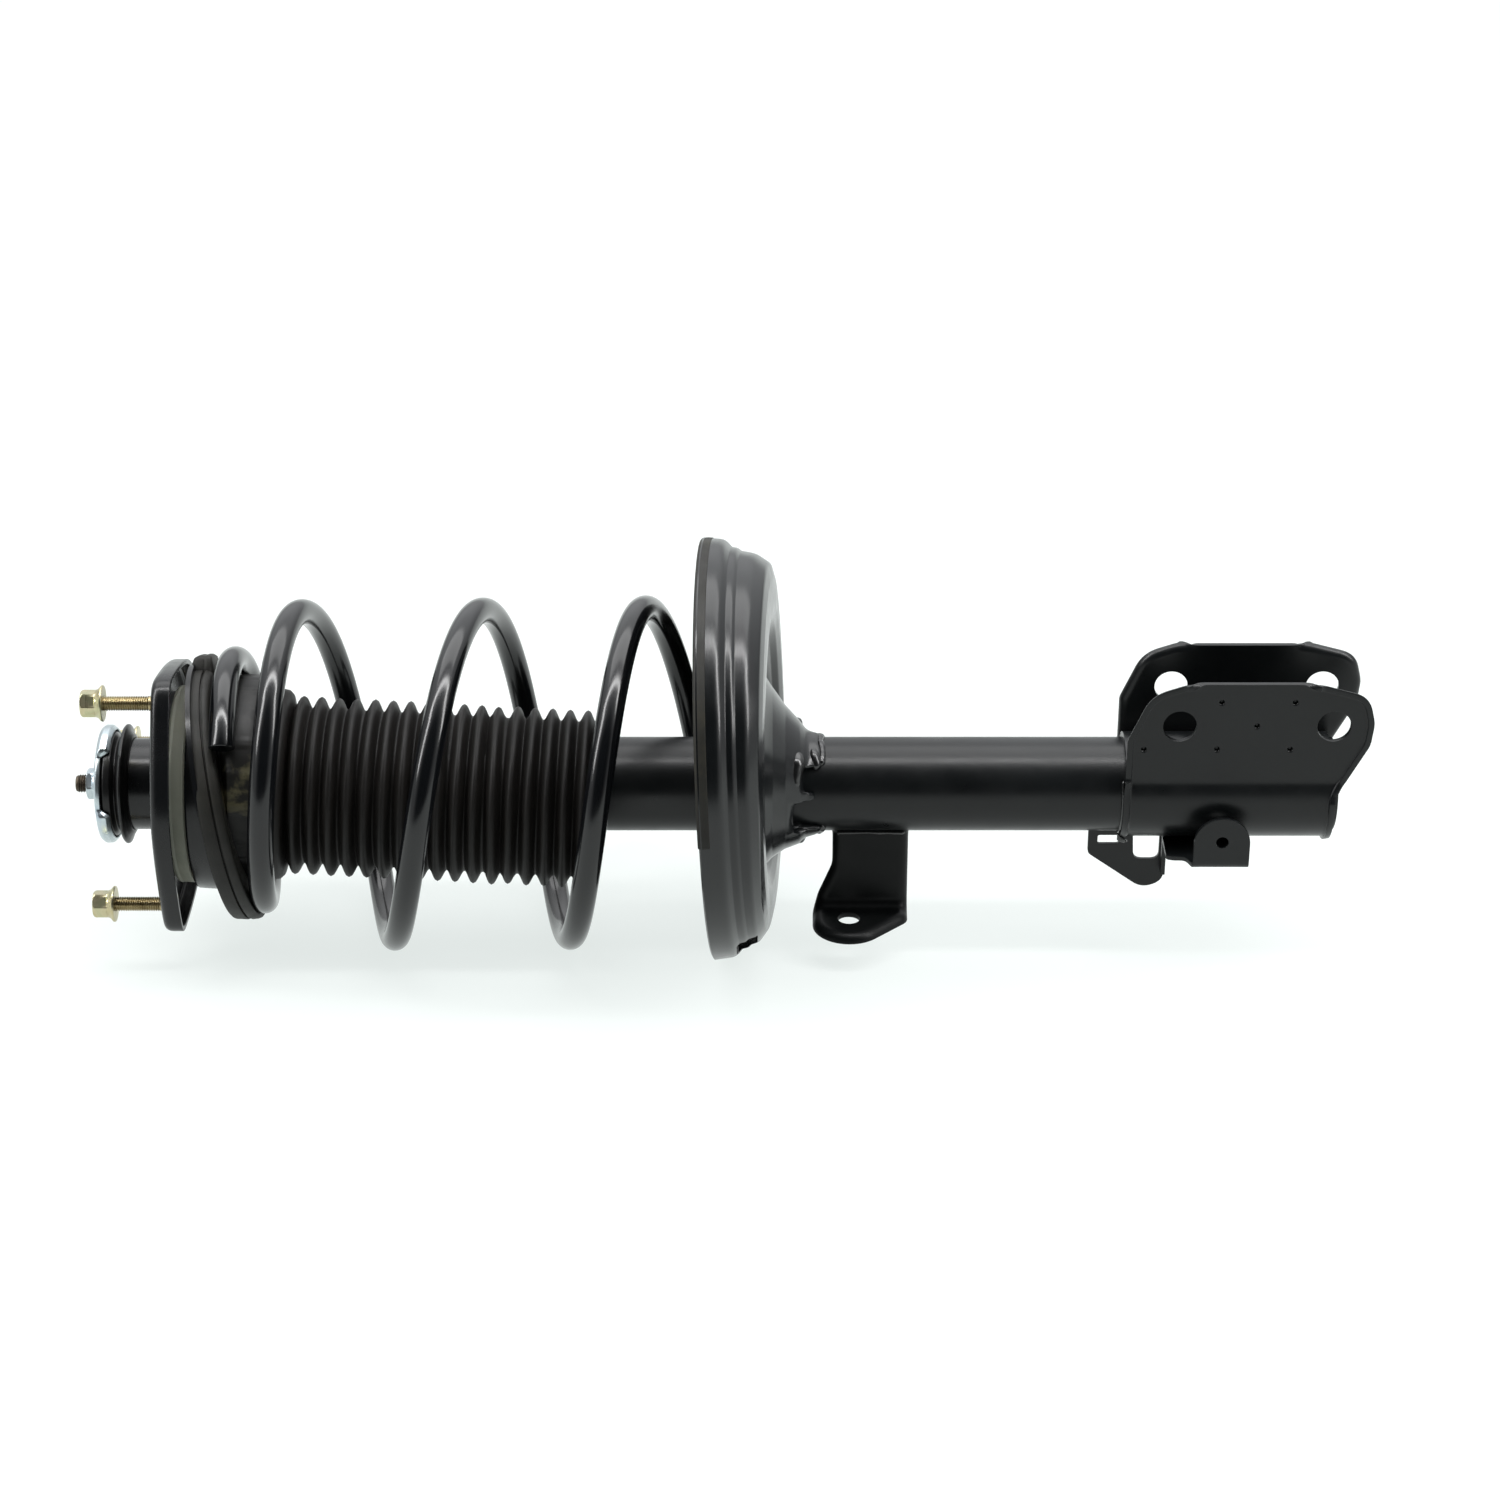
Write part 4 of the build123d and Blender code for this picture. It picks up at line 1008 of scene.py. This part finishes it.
def build_knuckle_bracket():
    # the sheet seen along the strut: down the near ear, under the tube and up the far ear
    lower = math.degrees(math.atan2(CREASE_Z, EAR_Y))
    wall = np.arange(90, CREASE_Z + 1.2, -1.5)
    path = [(-EAR_Y, z) for z in wall] + arc((0, 0), WRAP_R, 180 - lower, 360 + lower, 120)
    path = np.array(path + [(EAR_Y, z) for z in wall[::-1]])
    for _ in range(3):
        path[1:-1] = path[1:-1] * 0.5 + (path[:-2] + path[2:]) * 0.25
    fold, run = bent_path(path)
    half = run[-1] / 2
    near_side = len(path) // 2

    def along(z):
        """Distance along the sheet from its lowest line to a height on an ear."""
        return half - np.interp(-z, -path[:near_side, 1], run[:near_side])

    ear = [(x, half + along(z), r) for x, z, r in EAR]
    blank = rounded(ear + [(x, 2 * half - y, r) for x, y, r in reversed(ear)], steps=8)
    top = along(EAR_TOP)

    def lip(loop):
        high = np.abs(loop[:, 1] - half)
        turned = np.ones(len(loop))
        turned[(high > top - 1.5) & (loop[:, 0] > 552) & (loop[:, 0] < 614)] = 0.0
        turned[(high < along(10)) & (loop[:, 0] < 560)] = 0.55
        turned[(high < along(0)) & (loop[:, 0] > 560)] = 0.75
        return turned

    holes = [disc(x, half + side * along(HOLE_Z), HOLE_R) for x in HOLE_XS for side in (1, -1)]
    pits = [(x, half + side * along(z)) for x, z in PITS for side in (1, -1)]
    bracket("knuckle_clevis", pressing(blank, fold, holes, pits, lip), 0.45, "knuckle_bracket")
    line = ring(516.4, TUBE_R + 0.5, np.linspace(lower + 2, -180 - lower - 2, 170))
    hook = [(515.2, -17.5, -21.6), (516.5, -16.5, -24.8), (519, -14.5, -27.4), (521, -13, -28.6)]
    weld = join(bead(line, 0.9, 0.15, 2.2), bead(hook, 1.6, 0.5, 2.0))
    piece("bracket_weld_bead", weld, "weld_bead", "strut_body", "bracket_weld", sharp=60)
    from_cad("bracket_reinforcement", "clevis_liner", "satin_black_paint", "strut_body", 0.4)


def build_link_bracket():
    """A wall down from the tube, bent forward into a tab, with its sides turned back."""
    path = [(-10.5, z) for z in np.linspace(-20.5, -63.5, 30)]
    path += arc((-17.5, -64.5), 7.0, 0, -90)
    path += [(y, -71.5) for y in np.linspace(-18.5, -50, 20)]
    fold, _ = bent_path(path)
    turn = np.radians(np.linspace(180, 45, 16))
    # the link's hole, along the strut and along the blank
    hole_x, hole_run = 370.0, 62.6
    nose = [(hole_x + 19.8 * math.cos(t), hole_run + 19.8 * math.sin(t), 0) for t in turn]
    outline = [(361, 0, 0), (361, 25, 16), (350.4, 51, 12)] + nose + [(402.3, 58.5, 8), (402.3, 0, 0)]
    blank = rounded(outline, steps=6)

    def lip(loop):
        return np.where(loop[:, 1] < 3, 0.0, -1.0)

    hole = disc(hole_x, hole_run, 6.1, 40)
    part = pressing(blank, fold, [hole], lip=lip, bend=3.6, lip_height=5.6, step=2.0)
    bracket("link_bracket", part, 0.5, "stabiliser_bracket", "link_bracket_paint")
    seam = [(x, -13.2, -22.9 - 0.2 * abs(x - 381) / 20) for x in np.linspace(363, 400, 40)]
    piece("link_bracket_weld", bead(seam, 1.3, 0.7, 2.2), "weld_bead", "strut_body", sharp=60)


def build_hose_bracket():
    """A hanger with two windows, a shelf under the tube and a tab turned up in front of it."""
    hanger_fold, _ = bent_path([(-1.2, z) for z in np.linspace(-22, -70, 40)])
    hanger = rounded([(501, 3, 1), (501, 20, 4), (531.5, 42, 14), (543.3, 37.5, 9), (543.3, 3, 1)],
                     steps=7)
    slot = rounded([(506.2, 8.8), (517.7, 8.8), (517.7, 14.4), (506.2, 14.4)], 0.9, steps=3)
    window = rounded([(525.4, 8, 0.8), (540, 8, 0.8), (540, 24, 4.5), (526.2, 24, 5)], steps=6)
    openings = [even(slot, 0.9), even(window, 0.9)]
    parts = [pressing(hanger, hanger_fold, openings, thick=2.4, step=1.6, spacing=1.0)]
    path = [(y, -29.8) for y in np.linspace(1.0, -35.6, 26)]
    path += arc((-36.2, -26.8), 3.0, -90, -180)
    path += [(-39.2, z) for z in np.linspace(-26.0, 4, 20)]
    fold, run = bent_path(path)
    level = run[-1] - 19.0
    crown = [(569 + 15 * math.cos(t), level + 15 * math.sin(t), 0) for t in np.linspace(0, math.pi, 24)]
    foot = [(554, 39, 3), (551, 31.2, 5), (545, 31.2, 3), (540.8, 30, 2)]
    blank = rounded([(540.8, 1.5, 0.5), (584, 1.5, 0.5)] + crown + foot, steps=5)
    parts.append(pressing(blank, fold, [disc(569, level + 0.8, 3.4, 32)], thick=2.4, step=1.8, spacing=1.2))
    bracket("hose_bracket_pressing", join(*parts), 0.4, "hose_bracket")
    # the window's right edge turned forward
    flange = rounded([(540.9, -1), (540.9, -9), (543.3, -9), (543.3, -1)], 0.6, steps=3)
    rings = [[(x, y, z) for x, y in flange] for z in (-26.0, -30, -40, -47.0, -50.5, -52.0)]
    piece("window_flange", grid(rings, False), "satin_black_paint", "strut_body")


# --- damper ---
def build_tube():
    body = [(205.6, 23.4, 0.4), (205.6, TUBE_R, 1), (632, TUBE_R, 0.8), (632, 23.3, 0.5)]
    turned("strut_tube", body, "satin_black_paint", "strut_body", "outer_tube", count=192)
    cap = [(621, 0.01, 0), (621, 23.1, 0.5), (631.8, 23.1, 0.8), (631.8, 21.2, 0.8), (624.6, 20.6, 2.4),
           (624, 12, 2), (626, 9, 2), (626, 0.01, 0)]
    turned("tube_end_cap", cap, "satin_black_paint", "strut_body", "bottom_cap", count=128)
    rod = [(-33.5, 0.01, 0), (-33.5, 4.9, 0.2), (8.1, 4.9, 0.2), (8.1, 10.2, 0.3), (8.9, 11, 0.3),
           (262, 11, 0.2), (262, 4.95, 0.2), (294, 4.95, 0.6), (294, 0.01, 0)]
    turned("rod_chromed", rod, "ground_steel", "top_mount", "piston_rod", count=96)


for build in (build_top_mount, build_upper_seat, build_boot, build_spring, build_lower_seat,
              build_knuckle_bracket, build_link_bracket, build_hose_bracket, build_tube):
    build()

# CAD nodes that are shown as they are take their slot's look
SLOTS = {row["node"]: row["material_slot"] for row in frame["record"]["subparts"]}
for node, obj in frame["nodes"].items():
    if not obj.hide_render:
        obj.data.materials.clear()
        obj.data.materials.append(LOOKS[SLOTS[node]])

# --- floor, camera and light ---
FLOOR_HALF = 30.0
low_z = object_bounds()[0].z
corners = [(FLOOR_HALF * x, FLOOR_HALF * y, low_z) for x, y in ((-1, -1), (1, -1), (1, 1), (-1, 1))]
floor_mesh = bpy.data.meshes.new("floor")
floor_mesh.from_pydata(corners, [], [(0, 1, 2, 3)])
floor = in_scene("floor", floor_mesh)
white = Shader("floor_white")
white.colour((0.16, 0.163, 0.16))
white.set(rough=0.9, specular=0.1)
white.bsdf.inputs["Emission Color"].default_value = (0.94, 1.0, 0.98, 1)
white.bsdf.inputs["Emission Strength"].default_value = 0.77
floor_mesh.materials.append(white.material)

TILT = math.radians(28)
CAMERA_AWAY = 2.0
BACK = Vector((0, -math.cos(TILT), math.sin(TILT)))
UP = Vector((0, math.sin(TILT), math.cos(TILT)))
target = Vector((0.316, 0, 0)) + UP * 0.0182
camera = in_scene("camera", bpy.data.cameras.new("camera"))
camera.data.lens = 88.32
camera.data.sensor_width = 36.0
camera.data.clip_end = 100.0
camera.location = target + BACK * CAMERA_AWAY
camera.rotation_euler = (-BACK).to_track_quat("-Z", "Y").to_euler()
scene = bpy.context.scene
scene.camera = camera

LIT_MIDDLE = Vector((0.3, 0, 0))
# rectangular lights that face the strut's middle: direction, distance in m, size in m, power in W
for name, towards, distance, size, power in (
        ("overhead", (0, 0.5, 1), 2.2, (3.6, 1.2), 34),
        ("strip", (0, -0.06, 1), 2.4, (5.6, 0.22), 80),
        ("left", (-1, -0.25, 0.7), 2.4, (0.4, 1.5), 24),
        ("right", (1, -0.25, 0.7), 2.4, (0.4, 1.5), 24)):
    light = bpy.data.lights.new(name, "AREA")
    light.shape = "RECTANGLE"
    light.size, light.size_y = size
    light.energy = power
    direction = Vector(towards).normalized()
    softbox = in_scene(name, light)
    softbox.location = LIT_MIDDLE + direction * distance
    softbox.rotation_euler = (-direction).to_track_quat("-Z", "Y").to_euler()

scene.world = bpy.data.worlds.new("studio")
sky = Nodes(scene.world)
coords = sky.add("TexCoord").outputs["Generated"]


def by_direction(towards, *stops):
    """A grey that changes with the angle from a direction, from the cosine of that angle."""
    dot = sky.add("VectorMath", operation="DOT_PRODUCT")
    dot.inputs[1].default_value = Vector(towards).normalized()
    sky.link(coords, dot.inputs[0])
    greys = [(place, (grey, grey * 1.01, grey * 1.02)) for place, grey in stops]
    return sky.ramp(dot.outputs["Value"], greys, "EASE")


# pale all round and white above, with the dark of the room behind the open front
mix = sky.add("Mix", data_type="RGBA", blend_type="MULTIPLY")
mix.inputs[0].default_value = 1.0
sky.link(by_direction((0, 0.35, 0.94), (0.30, 0.42), (0.80, 1)), mix.inputs[6])
sky.link(by_direction((0, -0.883, 0.469), (0.50, 1), (0.86, 0.04)), mix.inputs[7])
background = sky.add("Background")
background.inputs["Strength"].default_value = 1.5
sky.link(mix.outputs[2], background.inputs["Color"])
sky.link(background.outputs["Background"], sky.add("OutputWorld").inputs["Surface"])

scene.view_settings.view_transform = "Standard"
scene.view_settings.look = "None"
